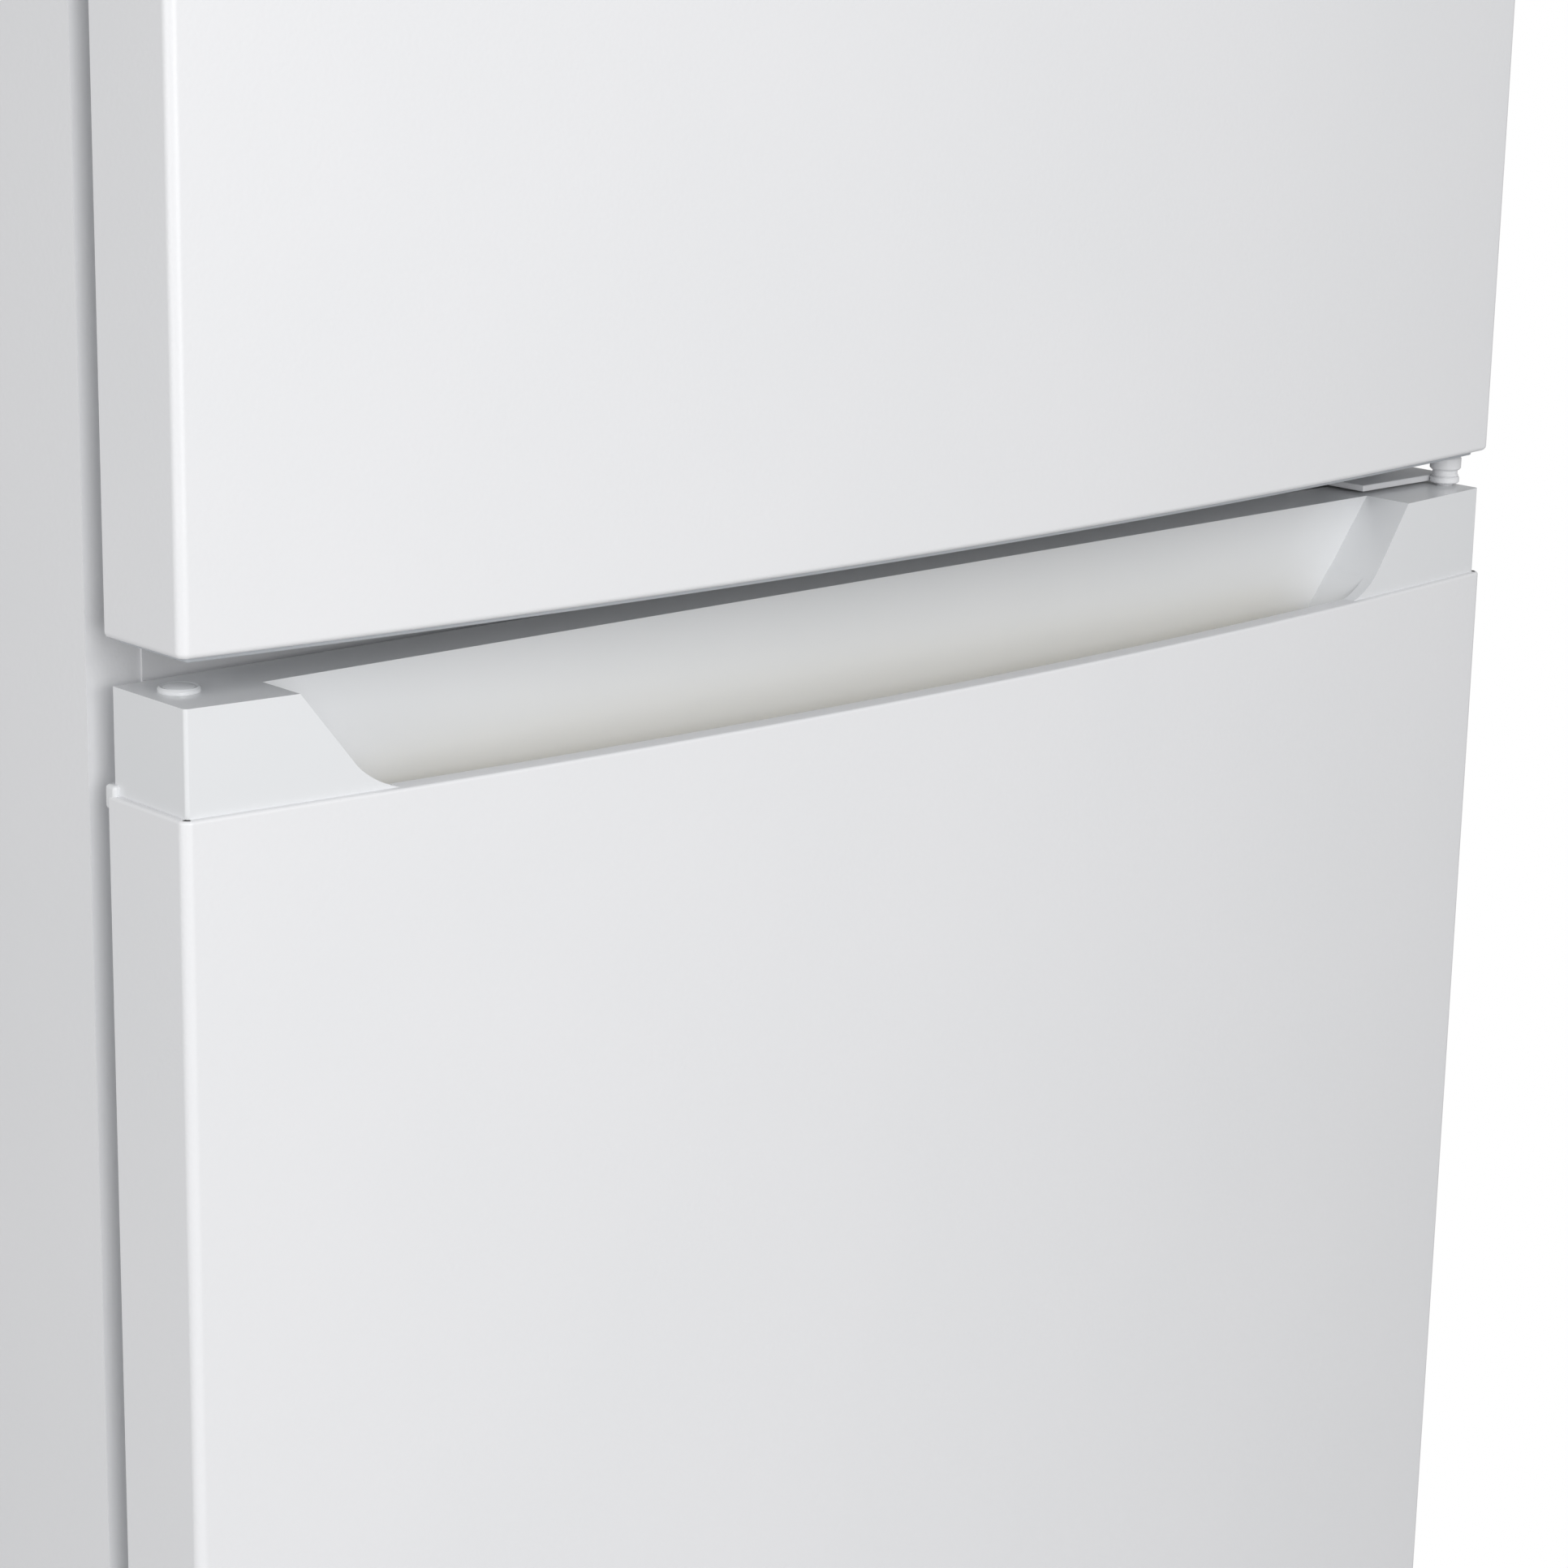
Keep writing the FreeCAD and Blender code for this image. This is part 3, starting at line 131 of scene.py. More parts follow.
def per_metre(size_mm: float) -> float:
    """Scale of a pattern whose features are this many millimetres apart."""
    return 1.0 / (size_mm * MM)


# Numbers of the mix node's sockets that work on colours
MIX_FACTOR = 0
MIX_FIRST = 6
MIX_SECOND = 7
MIX_RESULT = 2


class Relief(Enum):
    """Surface relief that a forming process leaves."""

    PEBBLE = "rolled pebble grain"
    ORANGE_PEEL = "sprayed paint"
    MOULD = "moulded skin"
    DRAWN = "brushed along one way"


@dataclass(frozen=True)
class Coating:
    """Opaque finish with a mottled tint, an uneven gloss and a fine relief."""

    name: str
    light: str
    dark: str
    roughness: float
    roughness_spread: float = 0.04
    relief: Relief = Relief.MOULD
    relief_size: float = 2.0
    relief_height: float = 0.02
    mottle_size: float = 90.0
    metallic: float = 0.0
    coat: float = 0.0
    ior: float = 1.5
    subsurface: float = 0.0

    def build(self) -> bpy.types.Material:
        """Make the material.

        Returns:
            The finished material.
        """
        graph = Graph(self.name)
        mottle = graph.add("ShaderNodeTexNoise", links={
            "Vector": graph.place, "Scale": per_metre(self.mottle_size), "Detail": 4.0,
        })
        tint = graph.add("ShaderNodeMix", {"data_type": "RGBA"}, {
            MIX_FACTOR: mottle.outputs["Fac"],
            MIX_FIRST: linear(self.dark),
            MIX_SECOND: linear(self.light),
        })
        wear = graph.add("ShaderNodeTexNoise", links={
            "Vector": graph.place, "Scale": per_metre(self.relief_size * 3), "Detail": 3.0,
        })
        gloss = graph.add("ShaderNodeMapRange", links={
            "Value": wear.outputs["Fac"],
            "To Min": self.roughness - self.roughness_spread,
            "To Max": self.roughness + self.roughness_spread,
        })
        bump = graph.add("ShaderNodeBump", links={
            "Height": self.height(graph), "Strength": 1.0, "Distance": self.relief_height * MM,
        })
        links: Links = {
            "Base Color": tint.outputs[MIX_RESULT],
            "Roughness": gloss.outputs["Result"],
            "Normal": bump.outputs["Normal"],
            "Metallic": self.metallic,
            "IOR": self.ior,
        }
        if self.coat:
            links["Coat Weight"] = self.coat
            links["Coat Roughness"] = 0.05
        if self.subsurface:
            links["Subsurface Weight"] = self.subsurface
            links["Subsurface Radius"] = (4 * MM, 4 * MM, 4 * MM)
        return graph.finish(links)

    def height(self, graph: Graph) -> bpy.types.NodeSocket:
        """Pattern that the bump follows.

        Args:
            graph: the material's tree.

        Returns:
            Height from 0 to 1.
        """
        scale = per_metre(self.relief_size)
        if self.relief is Relief.PEBBLE:
            cells = graph.add("ShaderNodeTexVoronoi", {"feature": "SMOOTH_F1"}, {
                "Vector": graph.place, "Scale": scale, "Smoothness": 0.6, "Randomness": 1.0,
            })
            pebbles = graph.add("ShaderNodeMapRange", links={
                "Value": cells.outputs["Distance"], "To Min": 1.0, "To Max": 0.0,
            })
            return pebbles.outputs["Result"]
        if self.relief is Relief.DRAWN:
            along_x = graph.add("ShaderNodeMapping", links={
                "Vector": graph.place, "Scale": (0.04, 1.0, 1.0),
            })
            lines = graph.add("ShaderNodeTexNoise", links={
                "Vector": along_x.outputs["Vector"], "Scale": scale, "Detail": 2.0,
            })
            return lines.outputs["Fac"]
        detail = 1.0 if self.relief is Relief.ORANGE_PEEL else 5.0
        skin = graph.add("ShaderNodeTexNoise", links={
            "Vector": graph.place, "Scale": scale, "Detail": detail,
        })
        return skin.outputs["Fac"]


@dataclass(frozen=True)
class Clear:
    """Transparent moulding or glass with faint waves in its surface."""

    name: str
    tint: str
    roughness: float
    ior: float
    wave_size: float = 45.0
    wave_height: float = 0.02
    paler: float = 1.04

    def build(self) -> bpy.types.Material:
        """Make the material.

        Returns:
            The finished material.
        """
        graph = Graph(self.name)
        wave = graph.add("ShaderNodeTexNoise", links={
            "Vector": graph.place, "Scale": per_metre(self.wave_size), "Detail": 2.0,
        })
        clear = linear(self.tint)
        tint = graph.add("ShaderNodeMix", {"data_type": "RGBA"}, {
            MIX_FACTOR: wave.outputs["Fac"],
            MIX_FIRST: clear,
            MIX_SECOND: tuple(min(1.0, channel * self.paler) for channel in clear),
        })
        gloss = graph.add("ShaderNodeMapRange", links={
            "Value": wave.outputs["Fac"],
            "To Min": self.roughness * 0.8,
            "To Max": self.roughness * 1.2,
        })
        bump = graph.add("ShaderNodeBump", links={
            "Height": wave.outputs["Fac"], "Strength": 1.0, "Distance": self.wave_height * MM,
        })
        return graph.finish({
            "Base Color": tint.outputs[MIX_RESULT],
            "Roughness": gloss.outputs["Result"],
            "Normal": bump.outputs["Normal"],
            "Transmission Weight": 1.0,
            "IOR": self.ior,
        })


# One finish for each material slot of the record. A coating gives its name, its lighter and darker
# colour, the roughness and its spread, the relief with its size and height in millimetres, and the
# size of its mottling in millimetres.
FINISHES: dict[str, "Coating | Clear"] = {
    # Prepainted steel sheet, roller coated: a fine grain breaks the highlight into a soft sheen.
    "painted_steel": Coating(
        "prepainted_steel", "E7E7E9", "E3E4E6", 0.42, 0.05, Relief.PEBBLE, 1.7, 0.045, 120.0, coat=0.12,
    ),
    # ABS moulded in a polished tool: smooth gloss with slow flow marks.
    "gloss_white_plastic": Coating(
        "moulded_gloss_abs", "E2E3E5", "DEE0E2", 0.2, 0.03, Relief.MOULD, 9.0, 0.012, 70.0,
        subsurface=0.04, ior=1.53,
    ),
    # Filled polypropylene of the doors' end caps, half dull. Their light grey is painted shade: it stands for the
    # shade under the steel panel's turned-in edge.
    "grey_plastic": Coating("end_cap_painted_shade_grey_pp", "BDC1C6", "B4B8BD", 0.45, 0.05, Relief.MOULD, 4.0, 0.02, 60.0),
    # Polypropylene from a spark eroded tool: a dull, faintly pitted skin.
    "white_plastic": Coating(
        "moulded_white_pp", "E2E4E6", "DCDEE0", 0.5, 0.06, Relief.PEBBLE, 1.2, 0.02, 60.0, subsurface=0.05,
    ),
    # High impact polystyrene sheet, vacuum formed: soft gloss with long drawing waves.
    "liner_plastic": Coating(
        "vacuum_formed_polystyrene", "F0F1F1", "ECEEEE", 0.32, 0.03, Relief.ORANGE_PEEL, 70.0, 0.03, 200.0,
        subsurface=0.04, ior=1.59,
    ),
    # Extruded soft vinyl of the door seals.
    "gasket_vinyl": Coating(
        "extruded_vinyl", "DADCDF", "D2D4D8", 0.6, 0.05, Relief.DRAWN, 1.5, 0.02, 80.0,
        subsurface=0.1, ior=1.54,
    ),
    # Polyurethane foam, poured in place: cream, open and rough.
    "foam": Coating(
        "polyurethane_foam", "E9DDB5", "D8C690", 0.95, 0.04, Relief.PEBBLE, 3.5, 0.8, 40.0, ior=1.4,
    ),
    # Hot dip galvanised sheet: spangled grey zinc.
    "galvanised_steel": Coating(
        "galvanised_sheet", "C4C9CC", "9EA4A8", 0.4, 0.12, Relief.PEBBLE, 14.0, 0.03, 16.0,
        metallic=1.0,
    ),
    # Bright zinc plating on pressed steel, as plated.
    "zinc_steel": Coating(
        "bright_zinc_plate", "D9DBDC", "C6C9CB", 0.3, 0.06, Relief.DRAWN, 0.8, 0.01, 25.0,
        metallic=0.9,
    ),
    # Black dipped enamel on the condenser and the compressor.
    "black_steel": Coating(
        "black_dip_enamel", "1B1C1E", "101113", 0.35, 0.1, Relief.ORANGE_PEEL, 4.0, 0.05, 50.0, coat=0.3,
    ),
    # Glass filled nylon: black and dull.
    "black_plastic": Coating(
        "moulded_black_nylon", "242527", "1A1B1C", 0.55, 0.06, Relief.PEBBLE, 1.0, 0.03, 40.0,
    ),
    # Rolled aluminium fins and tube.
    "aluminium": Coating(
        "mill_aluminium", "D4D6D8", "BEC1C4", 0.35, 0.08, Relief.DRAWN, 0.6, 0.01, 30.0,
        metallic=1.0,
    ),
    # Drawn copper tube, slightly tarnished.
    "copper_tube": Coating(
        "drawn_copper", "C98A66", "9A5C3C", 0.32, 0.1, Relief.MOULD, 6.0, 0.01, 22.0, metallic=1.0,
    ),
    # Hard polyethylene of the rollers.
    "roller_plastic": Coating(
        "moulded_grey_pe", "6A6B6D", "58595B", 0.5, 0.08, Relief.MOULD, 5.0, 0.03, 25.0,
    ),
    # Crystal polystyrene of the bins and drawers.
    "clear_plastic": Clear("crystal_polystyrene", "F7FAFB", 0.06, 1.59),
    # Quartz tube of the defrost heater.
    "glass_tube": Clear("quartz_tube", "F1F3F2", 0.03, 1.46, 12.0, 0.01),
    # Frosted polystyrene over the lamp, moulded against a blasted tool.
    "frosted_plastic": Clear("frosted_polystyrene", "F4F5F5", 0.45, 1.59, 3.0, 0.05),
}
# Tempered soda lime glass of the shelves; it shares the clear plastic's slot.
SHELF_GLASS = Clear("tempered_glass", "E4F1EC", 0.02, 1.52, 90.0, 0.005)


# ---- meshes ---------------------------------------------------------------------------------------

class Workshop:
    """Built finishes, and the last step that turns a mesh into a piece of the refrigerator."""

    def __init__(self) -> None:
        """Build every finish once."""
        self.materials = {slot: finish.build() for slot, finish in FINISHES.items()}
        self.glass = SHELF_GLASS.build()

    def piece(
        self,
        name: str,
        mesh: bmesh.types.BMesh,
        slot: str,
        body: str,
        *stands_for: str,
        smooth_angle: float = 32.0,
        material: bpy.types.Material | None = None,
    ) -> bpy.types.Object:
        """Turn a finished bmesh into a piece that rides on a body.

        Args:
            name: the piece's name.
            mesh: its shape, in metres in the frame's own place; it is freed.
            slot: the record's material slot that it takes its finish from.
            body: the body that it moves with.
            stands_for: frame nodes that it replaces.
            smooth_angle: edges sharper than this many degrees stay crisp.
            material: a finish other than the slot's own.

        Returns:
            The new object.
        """
        bmesh.ops.remove_doubles(mesh, verts=mesh.verts, dist=1e-6)
        bmesh.ops.recalc_face_normals(mesh, faces=mesh.faces)
        data = bpy.data.meshes.new(name)
        mesh.to_mesh(data)
        mesh.free()
        data.materials.append(material or self.materials[slot])
        for face in data.polygons:
            face.use_smooth = True
        data.set_sharp_from_angle(angle=math.radians(smooth_angle))
        piece = bpy.data.objects.new(name, data)
        bpy.context.scene.collection.objects.link(piece)
        weighted = piece.modifiers.new("even_shading", "WEIGHTED_NORMAL")
        weighted.keep_sharp = True
        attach(piece, body)
        if stands_for:
            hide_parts(*stands_for)
        LOG.info("%s: %d faces on %s", name, len(data.polygons), body)
        return piece

    def dress_frame(self) -> None:
        """Give every frame node the finish of its slot."""
        for part in frame["record"]["subparts"]:
            slots = frame["nodes"][part["node"]].material_slots
            for index in range(len(slots)):
                slots[index].link = "OBJECT"
                slots[index].material = self.materials[part["material_slot"]]


def block(low: Vector, high: Vector) -> bmesh.types.BMesh:
    """Plain block between two corners, ready to be worked on.

    Args:
        low: lowest corner.
        high: highest corner.

    Returns:
        A new bmesh.
    """
    mesh = bmesh.new()
    size = high - low
    place = Matrix.Translation((low + high) / 2) @ Matrix.Diagonal((*size, 1.0))
    bmesh.ops.create_cube(mesh, size=1.0, matrix=place)
    return mesh


def edges_where(mesh: bmesh.types.BMesh, wanted: EdgeTest) -> list[bmesh.types.BMEdge]:
    """Edges whose two ends pass a test.

    Args:
        mesh: the bmesh.
        wanted: test of the two end points.

    Returns:
        The edges that pass.
    """
    return [edge for edge in mesh.edges if wanted(edge.verts[0].co, edge.verts[1].co)]


def round_edges(
    mesh: bmesh.types.BMesh, edges: list[bmesh.types.BMEdge], radius: float, segments: int,
) -> None:
    """Round edges with a bevel.

    Args:
        mesh: the bmesh.
        edges: edges to round.
        radius: width of the bevel, in metres.
        segments: facets across it.
    """
    bmesh.ops.bevel(
        mesh, geom=edges, offset=radius, offset_type="OFFSET", affect="EDGES",
        segments=segments, profile=0.5, material=-1, clamp_overlap=True,
    )


def soften(
    mesh: bmesh.types.BMesh, radius: float, segments: int = 3, wanted: EdgeTest = lambda a, b: True,
) -> None:
    """Round every crisp edge that passes a test.

    Args:
        mesh: the bmesh.
        radius: width of the bevel, in metres.
        segments: facets across it.
        wanted: test of the two end points.
    """
    bmesh.ops.recalc_face_normals(mesh, faces=mesh.faces)
    crisp = math.radians(32)
    edges = [
        edge for edge in edges_where(mesh, wanted)
        if len(edge.link_faces) == 2 and edge.calc_face_angle() > crisp
    ]
    round_edges(mesh, edges, radius, segments)


def rounded_loop(
    low: tuple[float, float],
    high: tuple[float, float],
    inset: float,
    radius: float,
    steps: int = 5,
    cuts: int = 1,
) -> Profile:
    """Points round a rectangle with rounded corners.

    Args:
        low: lowest corner of the full rectangle.
        high: highest corner.
        inset: how far the loop is drawn in.
        radius: corner radius of the full rectangle.
        steps: facets on each corner.
        cuts: pieces that each straight side is divided into.

    Returns:
        The points, in order.
    """
    reach = max(radius - inset, 0.3 * MM)
    centres = [
        (high[0] - inset - reach, high[1] - inset - reach), (low[0] + inset + reach, high[1] - inset - reach),
        (low[0] + inset + reach, low[1] + inset + reach), (high[0] - inset - reach, low[1] + inset + reach),
    ]
    points = []
    for corner, centre in enumerate(centres):
        for step in range(steps + 1):
            angle = math.radians(90 * (corner + step / steps))
            points.append((centre[0] + reach * math.cos(angle), centre[1] + reach * math.sin(angle)))
        start = Vector(points[-1])
        turn = math.radians(90 * (corner + 1))
        following = Vector(centres[(corner + 1) % 4]) + Vector((math.cos(turn), math.sin(turn))) * reach
        points += [tuple(start.lerp(following, cut / cuts)) for cut in range(1, cuts)]
    return points


def lofted(loops: list[list[Vector]], ring: bool = False) -> bmesh.types.BMesh:
    """Closed skin over loops of points.

    Args:
        loops: loops with the same number of points.
        ring: whether the last loop joins the first; if not, both ends are closed with a face.

    Returns:
        A new bmesh.
    """
    mesh = bmesh.new()
    rows = [[mesh.verts.new(point) for point in loop] for loop in loops]
    following = rows[1:] + rows[:1] if ring else rows[1:]
    # Points are joined by their order, because bridge_loops twists loops whose corners differ.
    for near, far in zip(rows, following):
        for index in range(len(near)):
            after = (index + 1) % len(near)
            mesh.faces.new((near[index], near[after], far[after], far[index]))
    if not ring:
        mesh.faces.new(rows[0])
        mesh.faces.new(rows[-1])
    return mesh


def drawn_out(profile: Profile, left: float, right: float) -> bmesh.types.BMesh:
    """Straight moulding with one cross-section along x.

    Args:
        profile: closed outline of (y, z) points.
        left: where it starts.
        right: where it ends.

    Returns:
        A new bmesh.
    """
    return lofted([[Vector((x, y, z)) for y, z in profile] for x in (left, right)])


def turned(
    centre: Vector, profile: Profile, axis: Vector = Vector((0, 0, 1)), steps: int = 40,
) -> bmesh.types.BMesh:
    """Round piece from a half profile.

    Args:
        centre: a point on the axis.
        profile: (radius, distance along the axis) from one end to the other.
        axis: direction of the axis.
        steps: facets round it.

    Returns:
        A new bmesh.
    """
    mesh = bmesh.new()
    verts = [mesh.verts.new((radius, 0.0, along)) for radius, along in profile]
    edges = [mesh.edges.new(pair) for pair in zip(verts, verts[1:])]
    bmesh.ops.spin(
        mesh, geom=verts + edges, cent=(0, 0, 0), axis=(0, 0, 1), angle=math.tau, steps=steps, use_merge=True,
    )
    bmesh.ops.remove_doubles(mesh, verts=mesh.verts, dist=1e-7)
    turn = Vector((0, 0, 1)).rotation_difference(axis).to_matrix().to_4x4()
    mesh.transform(Matrix.Translation(centre) @ turn)
    return mesh


def gathered(*meshes: bmesh.types.BMesh) -> bmesh.types.BMesh:
    """Put several closed shapes into one mesh.

    Args:
        meshes: the shapes; all but the first are freed.

    Returns:
        The first bmesh, with the others added.
    """
    first = meshes[0]
    for other in meshes[1:]:
        data = bpy.data.meshes.new("work")
        other.to_mesh(data)
        other.free()
        first.from_mesh(data)
        bpy.data.meshes.remove(data)
    return first


def corners_of(node: str) -> tuple[Vector, Vector]:
    """Lowest and highest corner of a frame node."""
    low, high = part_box(node)
    return Vector(low), Vector(high)


def joint_place(name: str) -> Vector:
    """Place of a joint's axis."""
    return Vector(next(joint for joint in frame["joints"] if joint["name"] == name)["pos_m"])


def same(first: float, second: float, within: float = 0.01 * MM) -> bool:
    """Whether two lengths agree."""
    return abs(first - second) < within


def combine(first: bmesh.types.BMesh, second: bmesh.types.BMesh, operation: str) -> bmesh.types.BMesh:
    """Boolean of two closed shapes.

    Args:
        first: the shape that is kept; it is freed.
        second: the tool; it is freed.
        operation: "DIFFERENCE" or "UNION".

    Returns:
        The combined bmesh.
    """
    objects = []
    for mesh in (first, second):
        bmesh.ops.recalc_face_normals(mesh, faces=mesh.faces)
        data = bpy.data.meshes.new("work")
        mesh.to_mesh(data)
        mesh.free()
        item = bpy.data.objects.new("work", data)
        bpy.context.scene.collection.objects.link(item)
        objects.append(item)
    body, tool = objects
    modifier = body.modifiers.new("cut", "BOOLEAN")
    modifier.operation = operation
    modifier.solver = "EXACT"
    modifier.object = tool
    depsgraph = bpy.context.evaluated_depsgraph_get()
    result = bmesh.new()
    result.from_object(body, depsgraph)
    for item in objects:
        data = item.data
        bpy.data.objects.remove(item)
        bpy.data.meshes.remove(data)
    return result


# ---- doors ------------------------------------------------------------------------------------------

@dataclass
class DoorPlan:
    """Plan of the doors: a shallow bow between two straight sides."""

    bow: float = 22 * MM
    corner_radius: float = 4 * MM
    least_radius: float = 1.5 * MM
    columns: int = 64

    def __post_init__(self) -> None:
        """Read the half width, the bow's apex and the rear from the frame."""
        low, high = (Vector(corner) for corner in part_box("fridge_door_skin"))
        self.half = round(high.x, 4)
        self.apex = low.y
        self.rear = high.y
        self.corner = self.apex + self.bow
        self.radius = (self.half ** 2 + self.bow ** 2) / (2 * self.bow)

    def front(self, x: float, inset: float = 0.0) -> float:
        """Front surface's place at a distance from the middle.

        Args:
            x: distance from the middle plane.
            inset: how far the surface is drawn in.

        Returns:
            The y of the surface.
        """
        reach = self.radius - inset
        return self.apex + self.radius - math.sqrt(reach ** 2 - min(abs(x), self.half) ** 2)

    def bowed_block(
        self, inset: float, bottom: float, top: float, rear: float | None = None,
    ) -> bmesh.types.BMesh:
        """Closed block with the bowed front and rounded front corners.

        Args:
            inset: how far the front and sides are drawn in.
            bottom: lower end.
            top: upper end.
            rear: rear face, or the door panel's own.

        Returns:
            A new bmesh.
        """
        rear = self.rear if rear is None else rear
        half = self.half - inset
        mesh = block(Vector((-half, self.apex, bottom)), Vector((half, rear, top)))
        along = edges_where(mesh, lambda a, b: not same(a.x, b.x))
        bmesh.ops.subdivide_edges(mesh, edges=along, cuts=self.columns - 1, use_grid_fill=True)
        for vertex in mesh.verts:
            if same(vertex.co.y, self.apex):
                vertex.co.y = self.front(vertex.co.x, inset)
        corner_y = self.front(half, inset)

        def at_corner(a: Vector, b: Vector) -> bool:
            """Whether an edge stands at a front corner."""
            upright = same(a.y, corner_y) and same(b.y, corner_y) and not same(a.z, b.z)
            return upright and abs(a.x) > half - 0.1 * MM

        radius = max(self.corner_radius - inset, self.least_radius)
        round_edges(mesh, edges_where(mesh, at_corner), radius, 8)
        return mesh

    def rim(self, mesh: bmesh.types.BMesh, height: float) -> list[bmesh.types.BMEdge]:
        """Front and side edges at one height.

        Args:
            mesh: a bowed block.
            height: z of the edges.

        Returns:
            The edges.
        """
        rear = max(vertex.co.y for vertex in mesh.verts)
        found = []
        for edge in edges_where(mesh, lambda a, b: same(a.z, height) and same(b.z, height)):
            flat_sides = sum(1 for face in edge.link_faces if abs(face.normal.z) > 0.9)
            at_rear = all(same(vertex.co.y, rear) for vertex in edge.verts)
            if flat_sides == 1 and not at_rear:
                found.append(edge)
        return found


@dataclass(frozen=True)
class DoorSizes:
    """What differs between the doors: edge rounding, margins outside the lining's rim, and bins."""

    body: str
    shoulder: float
    rim_gaps: tuple[float, float]
    bins: tuple[str, ...]


DOORS = (
    DoorSizes(
        "freezer_door", 2.4 * MM, (36.5 * MM, 59.5 * MM), ("freezer_lower_bin", "freezer_upper_bin"),
    ),
    DoorSizes(
        "fridge_door", 1.3 * MM, (47.5 * MM, 32.5 * MM), ("bottom_bin", "middle_bin", "dairy_bin"),
    ),
)


@dataclass
class SteelPanel:
    """Bowed steel skin of a door, with its edges turned in."""

    name: str
    node: str
    body: str
    shoulder: float
    lip: float = 9 * MM
    sheet: float = 1 * MM

    def build(self, plan: DoorPlan, shop: Workshop) -> None:
        """Make the panel.

        Args:
            plan: plan of the doors.
            shop: the workshop.
        """
        low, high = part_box(self.node)
        bottom, top = low[2], high[2]
        mesh = plan.bowed_block(0.0, bottom, top)
        round_edges(mesh, plan.rim(mesh, top) + plan.rim(mesh, bottom), self.shoulder, 4)
        for height in (bottom, top):
            ends = [
                face for face in mesh.faces
                if abs(face.normal.z) > 0.99 and same(face.calc_center_median().z, height)
            ]
            self.open_up(mesh, ends, self.lip - self.shoulder)
        rear = [
            face for face in mesh.faces
            if face.normal.y > 0.99 and same(face.calc_center_median().y, plan.rear)
        ]
        self.open_up(mesh, rear, self.lip)
        panel = shop.piece(self.name, mesh, "painted_steel", self.body, self.node)
        wall = panel.modifiers.new("sheet", "SOLIDIFY")
        wall.thickness = self.sheet
        wall.offset = -1.0
        # The sheet gets its thickness before the shading is evened out.
        panel.modifiers.move(1, 0)

    def open_up(self, mesh: bmesh.types.BMesh, faces: list[bmesh.types.BMFace], width: float) -> None:
        """Open one side of the panel and leave a lip round the hole.

        Args:
            mesh: the panel's mesh.
            faces: faces of the side.
            width: width of the lip.
        """
        bmesh.ops.inset_region(mesh, faces=faces, thickness=width, use_even_offset=True)
        bmesh.ops.delete(mesh, geom=faces, context="FACES")


